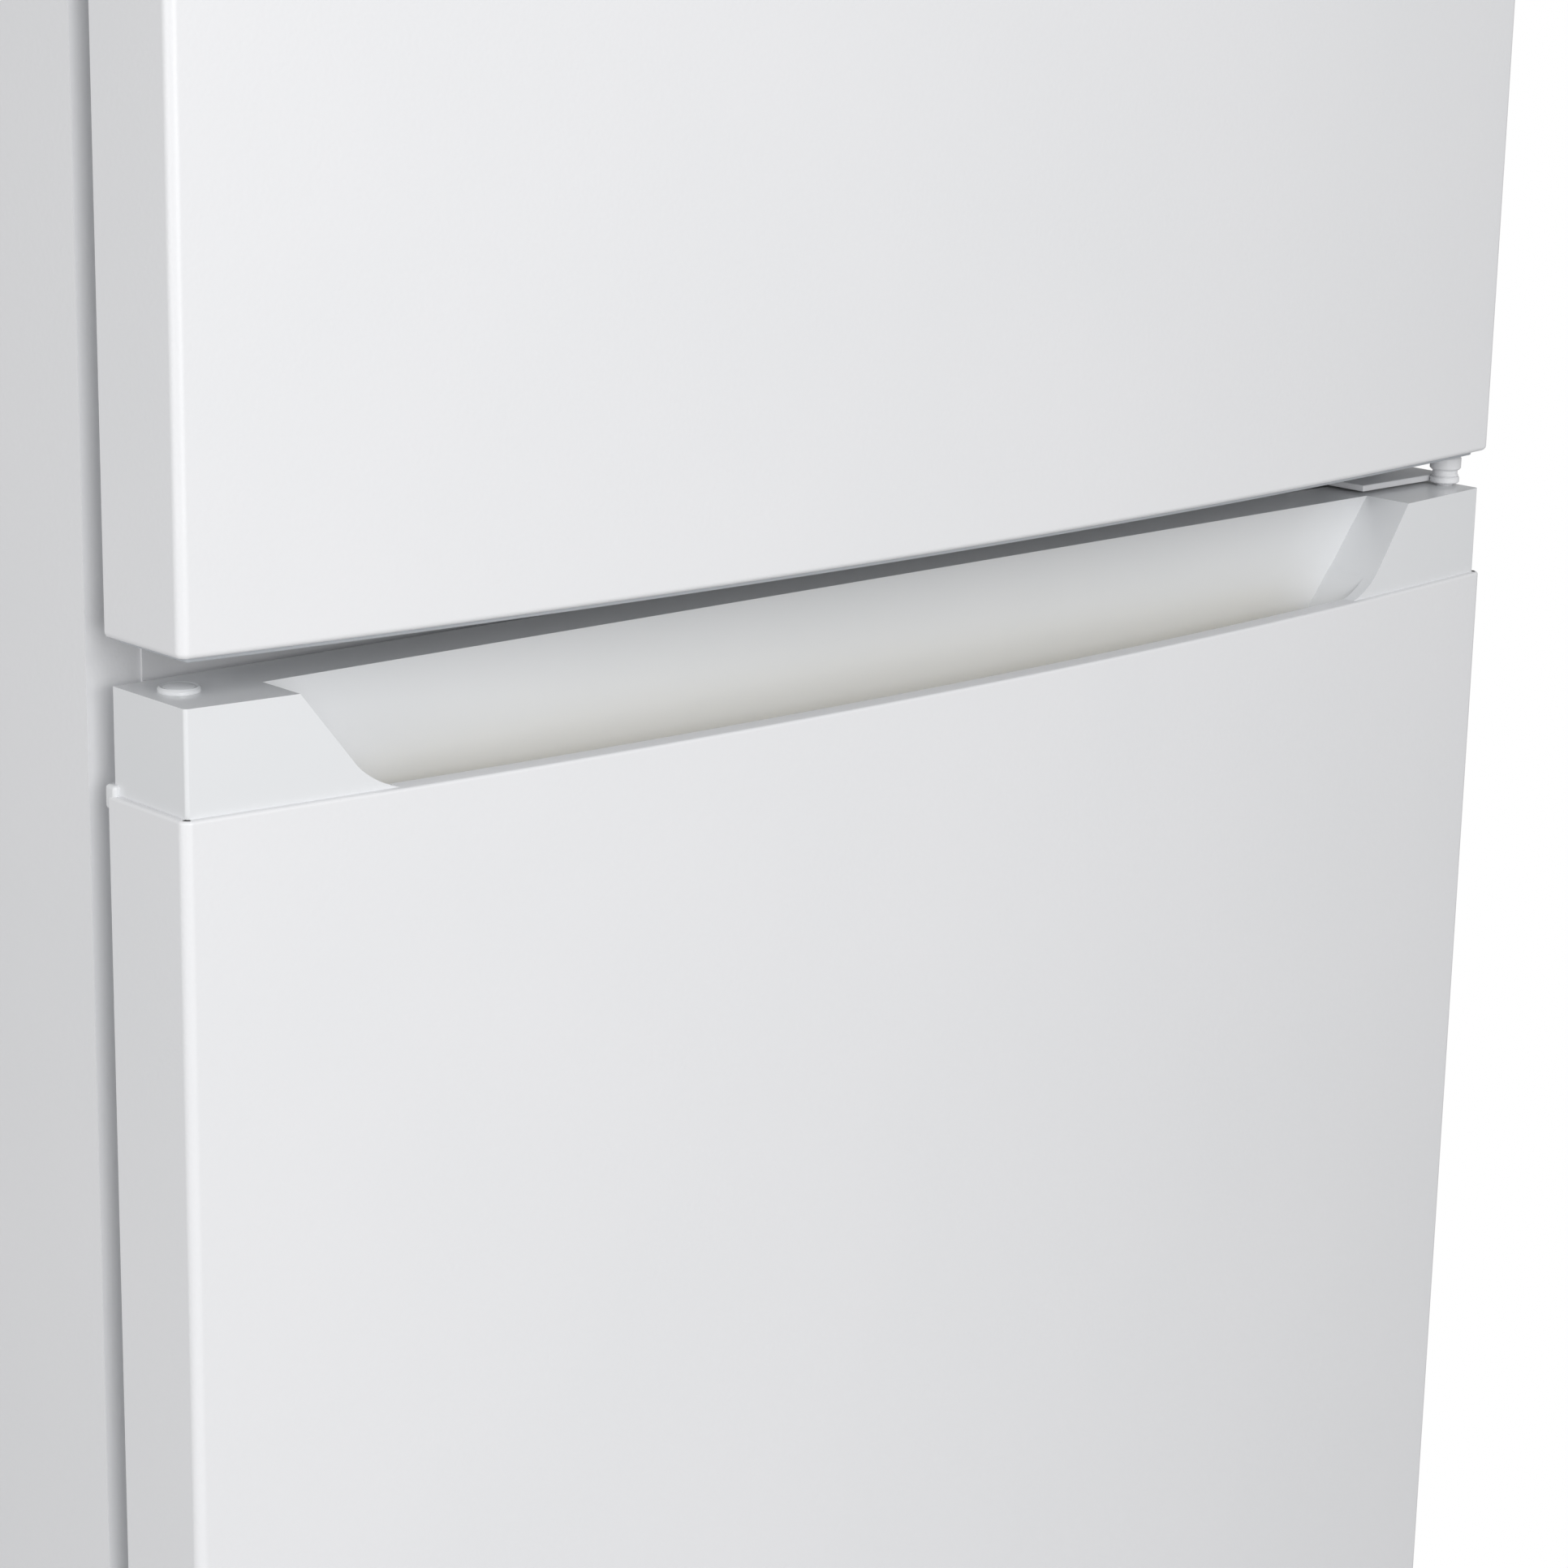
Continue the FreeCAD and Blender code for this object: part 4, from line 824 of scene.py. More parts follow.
@dataclass
class HandleCap:
    """Moulded cap on the lower door with the pocket handle, its trough and its hinge hole plug."""

    inset: float = 3 * MM
    top_half: float = 318 * MM
    floor_half: float = 285.5 * MM
    foot_reach: float = 16 * MM
    back_depth: float = 21.5 * MM
    slot_depth: float = 40 * MM
    slot_radius: float = 16 * MM
    wall: float = 3 * MM
    edge: float = 1.3 * MM
    lip: float = 9 * MM
    middle: float = -7 * MM
    overcut: float = 1 * MM
    foot_clear: float = 6 * MM

    @property
    def slope(self) -> float:
        """How far the slanted ends lean outwards for each metre of height."""
        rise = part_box("handle_cap")[1][2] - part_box("fridge_door_skin")[1][2]
        return (self.top_half - self.floor_half) / rise

    def opening(self, plan: DoorPlan, seam: float, top: float) -> bmesh.types.BMesh:
        """Wide upper part of the pocket, with slanted ends and rounded feet.

        Args:
            plan: plan of the doors.
            seam: height of the steel panel's top.
            top: height of the cap's top.

        Returns:
            The cutting shape.
        """
        over = 6 * MM
        floor = seam - self.overcut
        back = plan.corner + self.back_depth
        mesh = block(Vector((-1, plan.apex - over, floor)), Vector((1, back, top + over)))
        for vertex in mesh.verts:
            half = self.floor_half if same(vertex.co.z, floor) else self.top_half + self.slope * over
            vertex.co.x = self.middle + math.copysign(half, vertex.co.x)
        feet = edges_where(
            mesh, lambda a, b: same(a.z, floor) and same(b.z, floor) and not same(a.y, b.y),
        )
        round_edges(mesh, feet, self.foot_reach, 14)
        return mesh

    def half_at(self, rise: float, drop: float) -> float:
        """Half width of the pocket's straight slanted ends.

        Args:
            rise: height above the seam.
            drop: how much the whole end wall is moved outwards.

        Returns:
            The half width.
        """
        return self.floor_half + drop + self.slope * rise

    def slot(self, plan: DoorPlan, seam: float, grow: float) -> bmesh.types.BMesh:
        """Part of the pocket behind the steel panel's lip, where the slanted ends run on down.

        Args:
            plan: plan of the doors.
            seam: height of the steel panel's top.
            grow: 0 for the pocket itself, or the wall's thickness.

        Returns:
            A closed shape.
        """
        low = seam - self.slot_depth - grow
        high = seam + (self.foot_reach if not grow else 0.5 * MM)
        back = plan.corner + self.back_depth + grow
        mesh = plan.bowed_block(self.lip - grow, low, high, back)
        for side in (-1, 1):
            edge = Vector((self.middle + side * self.half_at(0.0, grow), 0, seam))
            outward = Vector((side, 0, -self.slope))
            cut = bmesh.ops.bisect_plane(
                mesh, geom=mesh.verts[:] + mesh.edges[:] + mesh.faces[:],
                plane_co=edge, plane_no=outward, clear_outer=True,
            )
            rim = [item for item in cut["geom_cut"] if isinstance(item, bmesh.types.BMEdge)]
            bmesh.ops.contextual_create(mesh, geom=rim)
        reach = self.half_at(low - seam, grow)

        def at_foot(a: Vector, b: Vector) -> bool:
            """Whether an edge lies at the foot of a slanted end."""
            level = same(a.z, low) and same(b.z, low) and same(a.x, b.x)
            return level and same(abs(a.x - self.middle), reach, 0.1 * MM)

        round_edges(mesh, edges_where(mesh, at_foot), self.slot_radius, 6)
        return mesh

    def build(self, plan: DoorPlan, shop: Workshop) -> None:
        """Make the cap and the plug.

        Args:
            plan: plan of the doors.
            shop: the workshop.
        """
        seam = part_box("fridge_door_skin")[1][2]
        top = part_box("handle_cap")[1][2]
        body = plan.bowed_block(self.inset, seam, top)
        body = combine(body, self.slot(plan, seam, self.wall), "UNION")
        body = combine(body, self.opening(plan, seam, top), "DIFFERENCE")
        body = combine(body, self.slot(plan, seam, 0.0), "DIFFERENCE")
        bmesh.ops.remove_doubles(body, verts=body.verts, dist=0.02 * MM)
        bmesh.ops.dissolve_degenerate(body, edges=body.edges, dist=0.02 * MM)
        clear = seam + self.foot_clear
        soften(body, self.edge, 4, lambda a, b: a.z > clear and b.z > clear)
        shop.piece(
            "handle_cap_moulding", body, "gloss_white_plastic", "fridge_door", "handle_cap",
            smooth_angle=30.0,
        )
        self.plug(shop)

    def plug(self, shop: Workshop) -> None:
        """Domed plug in the unused hinge hole.

        Args:
            shop: the workshop.
        """
        low, high = corners_of("hinge_hole_plug")
        centre = (low + high) / 2
        radius = (high.x - low.x) / 2
        cap_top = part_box("handle_cap")[1][2] - high.z
        stem = low.z - high.z
        # A low dome, a groove round it, a raised rim and the stem in the hole.
        profile = [
            (0.0, 0.0), (radius * 0.45, -0.15 * MM), (radius * 0.72, -0.7 * MM), (radius * 0.76, -1.0 * MM),
            (radius * 0.9, -0.7 * MM), (radius, -1.5 * MM), (radius, cap_top), (radius * 0.5, cap_top),
            (radius * 0.5, stem), (0.0, stem),
        ]
        mesh = turned(Vector((centre.x, centre.y, high.z)), profile, steps=48)
        shop.piece(
            "hinge_hole_plug_dome", mesh, "gloss_white_plastic", "fridge_door", "hinge_hole_plug",
            smooth_angle=40.0,
        )


@dataclass
class EndCap:
    """Thin moulded cap that closes a door's end."""

    name: str
    node: str
    panel: str
    body: str
    inset: float = 6 * MM
    edge: float = 0.8 * MM

    def build(self, plan: DoorPlan, shop: Workshop, at_top: bool) -> None:
        """Make the cap's outer plate.

        Args:
            plan: plan of the doors.
            shop: the workshop.
            at_top: whether it closes the upper end.
        """
        low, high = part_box(self.node)
        outer = high[2] if at_top else low[2]
        skin_low, skin_high = corners_of(self.panel)
        inner = skin_high.z if at_top else skin_low.z
        mesh = plan.bowed_block(self.inset, min(outer, inner), max(outer, inner))
        round_edges(mesh, plan.rim(mesh, outer), self.edge, 3)
        # The grey finish is painted shade: it stands for the shade under the steel panel's edge.
        shop.piece(self.name, mesh, "grey_plastic", self.body, self.node)


# ---- inner faces of the doors --------------------------------------------------------------------

@dataclass
class DoorLining:
    """Vacuum formed inner face of a door: a plate with a raised rim and ledges for the bins."""

    name: str
    node: str
    body: str
    rim_gaps: tuple[float, float]
    bins: tuple[str, ...]
    rim_width: float = 28.5 * MM
    rim_corner: float = 10 * MM
    bin_gap: float = 2 * MM
    draft: float = 1.2 * MM
    fillet: float = 4 * MM
    ledge_height: float = 6 * MM
    ledge_reach: float = 6 * MM
    ledge_setback: float = 8 * MM
    plate_corner: float = 3 * MM
    lap: float = 3 * MM
    sheet: float = 2 * MM

    def build(self, shop: Workshop) -> None:
        """Make the lining.

        Args:
            shop: the workshop.
        """
        low, high = corners_of(self.node)
        face = low.y + self.sheet
        inner_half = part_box(self.bins[0])[1][0] + self.bin_gap
        outer_half = inner_half + self.rim_width
        rim_low, rim_high = low.z + self.rim_gaps[0], high.z - self.rim_gaps[1]

        def plate(y: float) -> list[Vector]:
            """Outline of the flat plate at a depth."""
            points = rounded_loop((low.x, low.z), (high.x, high.z), -self.lap, self.plate_corner)
            return [Vector((x, y, z)) for x, z in points]

        def rim(inset: float, y: float) -> list[Vector]:
            """Outline of the raised rim, drawn in, at a depth."""
            points = rounded_loop((-outer_half, rim_low), (outer_half, rim_high), inset, self.rim_corner)
            return [Vector((x, y, z)) for x, z in points]

        mesh = lofted([
            plate(low.y), plate(face), rim(0.0, face), rim(self.draft, high.y),
            rim(self.rim_width - self.draft, high.y), rim(self.rim_width, face),
        ])

        def on_rim(a: Vector, b: Vector) -> bool:
            """Whether an edge belongs to the raised rim and not to the plate's border."""
            inside = abs(a.x) < high.x - 1 * MM and low.z + 1 * MM < a.z < high.z - 1 * MM
            return inside and min(a.y, b.y) > face - 0.1 * MM

        soften(mesh, self.fillet, 4, on_rim)
        ledges = []
        for name in self.bins:
            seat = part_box(name)[0][2]
            for side in (-1, 1):
                ends = side * (inner_half - self.ledge_reach), side * (inner_half + self.draft)
                left, right = sorted(ends)
                ledge = block(
                    Vector((left, face, seat - self.ledge_height)),
                    Vector((right, high.y - self.ledge_setback, seat)),
                )
                soften(ledge, 1.5 * MM, 3)
                ledges.append(ledge)
        mesh = gathered(mesh, *ledges)
        shop.piece(self.name, mesh, "liner_plastic", self.body, self.node, smooth_angle=40.0)


@dataclass
class DoorSeal:
    """Magnetic door seal: a dart, a bellows fold and the magnet's sleeve."""

    name: str
    node: str
    body: str
    corner: float = 3 * MM

    def build(self, shop: Workshop) -> None:
        """Make the seal.

        Args:
            shop: the workshop.
        """
        low, high = corners_of(self.node)
        depth = high.y - low.y
        # Section of the seal: millimetres in from its outer edge, and share of its depth.
        section = [
            (3.0, 0.0), (12.5, 0.0), (12.8, 0.19), (15.4, 0.36), (14.0, 0.52), (13.4, 0.6), (16.0, 0.68),
            (16.0, 0.95), (15.2, 1.0), (0.8, 1.0), (0.0, 0.95), (0.0, 0.68), (2.4, 0.6), (1.8, 0.52),
            (0.3, 0.36), (2.6, 0.19),
        ]
        loops = []
        for inset, share in section:
            points = rounded_loop((low.x, low.z), (high.x, high.z), inset * MM, self.corner, 3)
            loops.append([Vector((x, low.y + share * depth, z)) for x, z in points])
        mesh = lofted(loops, ring=True)
        shop.piece(self.name, mesh, "gasket_vinyl", self.body, self.node, smooth_angle=50.0)


@dataclass
class Tub:
    """Injection moulded tub with draft, rounded corners, a rolled rim and, at will, a lower front."""

    name: str
    node: str
    body: str
    low: Vector
    high: Vector
    front_top: float
    low_side_at_back: bool = True
    corner: float = 12 * MM
    draft: float = 2 * MM
    wall: float = 2.4 * MM
    ramp: float = 34 * MM
    foot: float = 3 * MM
    bead: float = 0.8 * MM

    def height(self, y: float) -> float:
        """Height of the rim at a depth.

        Args:
            y: the depth.

        Returns:
            The rim's z.
        """
        reach = (self.high.y - y) if self.low_side_at_back else (y - self.low.y)
        share = min(max((reach - self.corner) / self.ramp, 0.0), 1.0)
        eased = share * share * (3 - 2 * share)
        return self.front_top + (self.high.z - self.front_top) * eased

    def loop(self, inset: float, lift: float, share: float) -> list[Vector]:
        """Points round the tub.

        Args:
            inset: how far it is drawn in.
            lift: height over the tub's bottom.
            share: 0 at the bottom and 1 at the rim.

        Returns:
            The points.
        """
        corners = (self.low.x, self.low.y), (self.high.x, self.high.y)
        points = rounded_loop(*corners, inset, self.corner, 6, 14)
        base = self.low.z + lift
        return [Vector((x, y, base + share * (self.height(y) - base))) for x, y in points]

    def mesh(self) -> bmesh.types.BMesh:
        """Make the tub's mesh.

        Returns:
            A new bmesh.
        """
        wall, draft, foot, bead = self.wall, self.draft, self.foot, self.bead
        inner = wall + draft
        outside = [
            self.loop(draft + foot, 0.0, 0.0), self.loop(draft + foot * 0.3, foot * 0.3, 0.0),
            self.loop(draft, foot, 0.0), self.loop(bead, 0.0, 0.93), self.loop(0.0, 0.0, 0.95),
        ]
        rim = [
            self.loop(0.0, 0.0, 0.992), self.loop(bead * 0.5, 0.0, 1.0),
            self.loop(wall - bead * 0.5, 0.0, 1.0), self.loop(wall, 0.0, 0.99),
        ]
        inside = [
            self.loop(wall, foot, 0.9), self.loop(inner, foot + wall, 0.0),
            self.loop(inner + foot * 0.3, wall + foot * 0.3, 0.0), self.loop(inner + foot, wall, 0.0),
        ]
        return lofted(outside + rim + inside)

    def build(self, shop: Workshop, *extras: bmesh.types.BMesh) -> None:
        """Make the tub.

        Args:
            shop: the workshop.
            extras: more closed shapes of the same moulding.
        """
        mesh = gathered(self.mesh(), *extras)
        shop.piece(self.name, mesh, "clear_plastic", self.body, self.node, smooth_angle=45.0)


# How much lower each door bin's room side is than its ends
BIN_DROPS = {
    "freezer_lower_bin": 25 * MM,
    "freezer_upper_bin": 25 * MM,
    "middle_bin": 30 * MM,
    "bottom_bin": 30 * MM,
}


def door_bin(node: str, front_drop: float) -> Tub:
    """Bin on a door, lower at the room side.

    Args:
        node: its frame node.
        front_drop: how much lower its front is than its ends.

    Returns:
        The tub.
    """
    low, high = corners_of(node)
    return Tub(node + "_tub", node, node + "_body", low, high, high.z - front_drop)


@dataclass
class DairyShelf:
    """Butter compartment: a tub with tall ends, and a curved lid that turns on them."""

    rim: float = 60 * MM
    front: float = 55 * MM
    pin: float = 3 * MM
    hub: float = 5.5 * MM
    lid_wall: float = 2.4 * MM
    end_gap: float = 0.9 * MM
    bend: float = 14 * MM

    def build(self, shop: Workshop) -> None:
        """Make the tub and the lid.

        Args:
            shop: the workshop.
        """
        low, high = corners_of("dairy_bin")
        pivot_y, pivot_z = joint_place("dairy_lid_hinge").yz
        tub = Tub(
            "dairy_bin_tub", "dairy_bin", "dairy_bin_body", low, Vector((high.x, high.y, low.z + self.rim)),
            low.z + self.front,
        )
        ends = []
        for side in (-1, 1):
            outer, inner = side * high.x, side * (high.x - tub.wall)
            ear = drawn_out([
                (low.y + 12 * MM, low.z + self.rim * 0.8), (low.y + 58 * MM, low.z + self.rim * 0.8),
                (low.y + 50 * MM, low.z + self.rim), (low.y + 26 * MM, high.z - 4 * MM),
                (pivot_y + 6 * MM, high.z - 1 * MM), (pivot_y, high.z), (low.y + 2 * MM, pivot_z),
                (low.y + 3 * MM, pivot_z - 6 * MM),
            ], *sorted((outer, inner)))
            soften(ear, 0.6 * MM, 2)
            pin = [(0, 0), (self.pin, 0), (self.pin, 4.6 * MM), (0, 5.2 * MM)]
            stub = turned(Vector((inner, pivot_y, pivot_z)), pin, Vector((-side, 0, 0)), 24)
            ends += [ear, stub]
        tub.build(shop, *ends)
        self.lid(shop, pivot_y, pivot_z)

    def lid(self, shop: Workshop, pivot_y: float, pivot_z: float) -> None:
        """Curved lid with its two hubs.

        Args:
            shop: the workshop.
            pivot_y: depth of the pins.
            pivot_z: height of the pins.
        """
        low, high = corners_of("dairy_lid")
        outline: Profile = []
        for offset in (0.0, self.lid_wall):
            bend = self.bend - offset
            centre_y, centre_z = high.y - self.bend, high.z - self.bend
            turns = [math.radians(angle) for angle in range(0, 91, 10)]
            arc = [(centre_y + bend * math.sin(turn), centre_z + bend * math.cos(turn)) for turn in turns]
            run = [(pivot_y, high.z - offset), *arc, (high.y - offset, low.z)]
            outline += run if not outline else run[::-1]
        shell = drawn_out(outline, low.x + self.end_gap, high.x - self.end_gap)
        soften(shell, 0.6 * MM, 2)
        bore = self.pin + 0.1 * MM
        length = 9 * MM
        tube = [(bore, 0), (self.hub, 0), (self.hub, length), (bore, length), (bore, 0)]
        hubs = []
        for side in (-1, 1):
            start = Vector((side * (high.x - self.end_gap), pivot_y, pivot_z))
            hubs.append(turned(start, tube, Vector((-side, 0, 0)), 24))
        mesh = gathered(shell, *hubs)
        shop.piece("dairy_lid_shell", mesh, "clear_plastic", "dairy_lid_body", "dairy_lid", smooth_angle=40.0)


# ---- shelves and drawers ------------------------------------------------------------------------

@dataclass
class GlassShelf:
    """Tempered glass pane in a moulded rim."""

    node: str
    rim: float = 16 * MM
    corner: float = 4 * MM
    pane: float = 4 * MM
    recess: float = 1 * MM
    lap: float = 3 * MM

    def build(self, shop: Workshop) -> None:
        """Make the rim and the pane.

        Args:
            shop: the workshop.
        """
        low, high = corners_of(self.node)
        thick = high.z - low.z
        pane_top = thick - self.recess
        # Section of the rim: millimetres in from its outer edge, and share of its height.
        section = [
            (1.2, 0.0), (0.0, 0.12), (0.0, 0.86), (0.4, 0.96), (1.4, 1.0), (12.0, 1.0), (15.6, 0.93),
            (16.0, 0.9), (16.0, 0.55), (14.0, 0.5), (6.0, 0.42), (5.0, 0.3), (4.6, 0.0),
        ]
        loops = []
        for inset, share in section:
            points = rounded_loop((low.x, low.y), (high.x, high.y), inset * MM, self.corner, 4)
            loops.append([Vector((x, y, low.z + share * thick)) for x, y in points])
        rim = lofted(loops, ring=True)
        shop.piece(self.node + "_rim", rim, "white_plastic", "cabinet", self.node, smooth_angle=40.0)
        inset = self.rim - self.lap
        pane = block(
            Vector((low.x + inset, low.y + inset, low.z + pane_top - self.pane)),
            Vector((high.x - inset, high.y - inset, low.z + pane_top)),
        )
        soften(pane, 0.6 * MM, 2)
        shop.piece(self.node + "_pane", pane, "clear_plastic", "cabinet", material=shop.glass)


@dataclass
class Crisper:
    """Drawer under the lowest shelf, with a rolled grip along its front."""

    node: str
    grip_reach: float = 12 * MM
    grip_inset: float = 40 * MM
    grip_drop: float = 30 * MM
    grip_depth: float = 16 * MM

    def build(self, shop: Workshop) -> None:
        """Make the drawer.

        Args:
            shop: the workshop.
        """
        low, high = corners_of(self.node)
        front = low.y + self.grip_reach
        tub = Tub(
            self.node + "_tub", self.node, self.node + "_body", Vector((low.x, front, low.z)), high, high.z,
            low_side_at_back=False, corner=14 * MM,
        )
        top, wall = high.z - self.grip_drop, tub.wall
        root = front + wall * 0.5
        lip = top - self.grip_depth
        outline = [
            (root, top), (low.y + 3 * MM, top), (low.y, top - 3 * MM), (low.y, lip), (low.y + wall, lip),
            (low.y + wall, top - 5 * MM), (low.y + 5 * MM, top - wall), (root, top - wall),
        ]
        grip = drawn_out(outline, low.x + self.grip_inset, high.x - self.grip_inset)
        soften(grip, 0.7 * MM, 2)
        tub.build(shop, grip)


# ---- fittings -----------------------------------------------------------------------------------

@dataclass
class MiddleHinge:
    """Bracket between the doors: a flat arm with a round end and a stepped collar on the pin."""

    plate: float = 3 * MM
    plate_half: float = 13 * MM
    arm: float = 3 * MM
    eye: float = 7 * MM
    pin: float = 4 * MM
    neck: float = 6 * MM
    neck_height: float = 3.5 * MM
    collar: float = 7.5 * MM
    washer: float = 1.3 * MM
    door_gap: float = 0.3 * MM
    arm_length: float = 54 * MM
    front_back: float = 6 * MM

    def build(self, shop: Workshop) -> None:
        """Make the bracket.

        Args:
            shop: the workshop.
        """
        low, high = corners_of("middle_hinge")
        centre = joint_place("fridge_door_hinge")
        cap_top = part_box("handle_cap")[1][2]
        door_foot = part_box("freezer_door_bottom_cap")[0][2]
        middle = (cap_top + door_foot) / 2
        arm_low = cap_top + self.washer
        arm_high = arm_low + self.arm
        tongue = block(
            Vector((centre.x - self.arm_length, centre.y + self.front_back, arm_low)),
            Vector((centre.x + self.eye, high.y - 0.2 * MM, arm_high)),
        )
        soften(tongue, 0.5 * MM, 3)
        disc = turned(Vector((centre.x, centre.y, arm_low)), self.disc(), steps=48)
        rail_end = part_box("center_rail")[1][0]
        plate = block(
            Vector((low.x, high.y - self.plate, middle - self.plate_half)),
            Vector((rail_end, high.y, middle + self.plate_half)),
        )
        soften(plate, 0.8 * MM, 3)
        top = door_foot - self.door_gap
        neck_top = arm_high + self.neck_height
        pin, neck, collar = self.pin, self.neck, self.collar
        tip = 0.8 * MM
        lower_pin = [(0.0, low.z), (pin - tip, low.z), (pin, low.z + tip), (pin, arm_low)]
        waist = [
            (neck, arm_high), (neck + 0.5 * MM, arm_high + 0.6 * MM), (neck, arm_high + 1.3 * MM),
            (neck, neck_top - 0.5 * MM),
        ]
        head = [
            (collar - 0.7 * MM, neck_top), (collar, neck_top + 0.7 * MM), (collar, top - 2.4 * MM),
            (collar - 0.9 * MM, top - 1.2 * MM), (collar - 1.2 * MM, top),
        ]
        upper_pin = [(pin, top), (pin, high.z - tip), (pin - tip, high.z), (0.0, high.z)]
        profile = lower_pin + waist + head + upper_pin
        post = turned(Vector((centre.x, centre.y, 0.0)), profile, steps=48)
        mesh = gathered(tongue, disc, plate, post)
        shop.piece(
            "middle_hinge_bracket", mesh, "painted_steel", "cabinet", "middle_hinge", smooth_angle=35.0,
        )

    def disc(self) -> Profile:
        """Half profile of the arm's round end, with broken edges.

        Returns:
            The profile.
        """
        edge = 0.5 * MM
        return [
            (0.0, 0.0), (self.eye - edge, 0.0), (self.eye, edge), (self.eye, self.arm - edge),
            (self.eye - edge, self.arm), (0.0, self.arm),
        ]


@dataclass
class RoundFittings:
    """Turned small parts: the feet, the rollers and the control knob."""

    foot_pad: float = 8 * MM
    foot_stem: float = 5 * MM
    thread_pitch: float = 1.25 * MM
    thread_depth: float = 0.5 * MM
    tyre_edge: float = 2 * MM
    dish: float = 4 * MM
    axle: float = 3.1 * MM

    def foot(self, shop: Workshop, side: str) -> None:
        """Screw foot with a rounded pad and a threaded stem.

        Args:
            shop: the workshop.
            side: "left" or "right".
        """
        node = side + "_foot"
        low, high = corners_of(node)
        centre = (low + high) / 2
        radius, height = (high.x - low.x) / 2, high.z - low.z
        stem, pad, edge = self.foot_stem, self.foot_pad, 2 * MM
        profile = [
            (0.0, 0.0), (radius - edge, 0.0), (radius, 1.2 * MM), (radius, pad - edge),
            (radius - edge, pad), (stem + 3 * MM, pad),
        ]
        root = stem - self.thread_depth
        rise = pad + 1 * MM
        while rise < height - 2 * self.thread_pitch:
            profile += [(stem, rise), (root, rise + 0.6 * MM)]
            rise += self.thread_pitch
        profile += [(root, height - 0.8 * MM), (stem - 1.2 * MM, height), (0.0, height)]
        mesh = turned(Vector((centre.x, centre.y, low.z)), profile)
        shop.piece(node + "_screw", mesh, "black_plastic", node + "_body", node)

    def roller(self, shop: Workshop, side: str) -> None:
        """Wheel with a dished web and a hub.

        Args:
            shop: the workshop.
            side: "left" or "right".
        """
        node = side + "_roller"
        low, high = corners_of(node)
        radius, width = (high.z - low.z) / 2, high.x - low.x
        axle, dish, edge = self.axle, self.dish, self.tyre_edge
        hub, web = axle + 3 * MM, radius - 4 * MM
        lean = 1 * MM
        near_side = [(axle, 0.0), (hub, 0.0), (hub + lean, dish), (web - lean, dish), (web, 0.0)]
        tyre = [(radius - edge, 0.0), (radius, edge), (radius, width - edge), (radius - edge, width)]
        far_side = [(reach, width - depth) for reach, depth in reversed(near_side)]
        profile = near_side + tyre + far_side + [(axle, 0.0)]
        start = Vector((low.x, (low.y + high.y) / 2, (low.z + high.z) / 2))
        mesh = turned(start, profile, Vector((1, 0, 0)))
        shop.piece(node + "_wheel", mesh, "roller_plastic", node + "_body", node)

    def knob(self, shop: Workshop) -> None:
        """Temperature knob with a grip bar and a pointer.

        Args:
            shop: the workshop.
        """
        low, high = corners_of("control_knob")
        axis = joint_place("control_knob_turn")
        centre = Vector((axis.x, axis.y, low.z))
        radius, height = (high.x - low.x) / 2, high.z - low.z
        grip, disc, shaft, edge = 7 * MM, 18.4 * MM, 4.9 * MM, 1 * MM
        profile = [
            (0.0, grip - edge), (radius - 3 * edge, grip - edge), (radius - edge, grip),
            (radius, grip + 2 * edge), (radius, disc - edge), (radius - edge, disc), (shaft, disc),
            (shaft, height - edge), (shaft - edge, height), (0.0, height),
        ]
        body = turned(centre, profile, steps=60)
        bar_half, bar_end = 3 * MM, radius - 2 * MM
        bar = block(
            centre + Vector((-bar_half, -bar_end, 0.0)), centre + Vector((bar_half, bar_end, grip)),
        )
        soften(bar, 1.2 * MM, 3)
        pointer_half = 0.6 * MM
        pointer = block(
            centre + Vector((-pointer_half, -radius + 4 * MM, 0.0)),
            centre + Vector((pointer_half, -4 * MM, pointer_half)),
        )
        mesh = gathered(body, bar, pointer)
        shop.piece(
            "control_knob_dial", mesh, "white_plastic", "control_knob_body", "control_knob",
            smooth_angle=35.0,
        )

    def build(self, shop: Workshop) -> None:
        """Make all of them.

        Args:
            shop: the workshop.
        """
        for side in ("left", "right"):
            self.foot(shop, side)
            self.roller(shop, side)
        self.knob(shop)


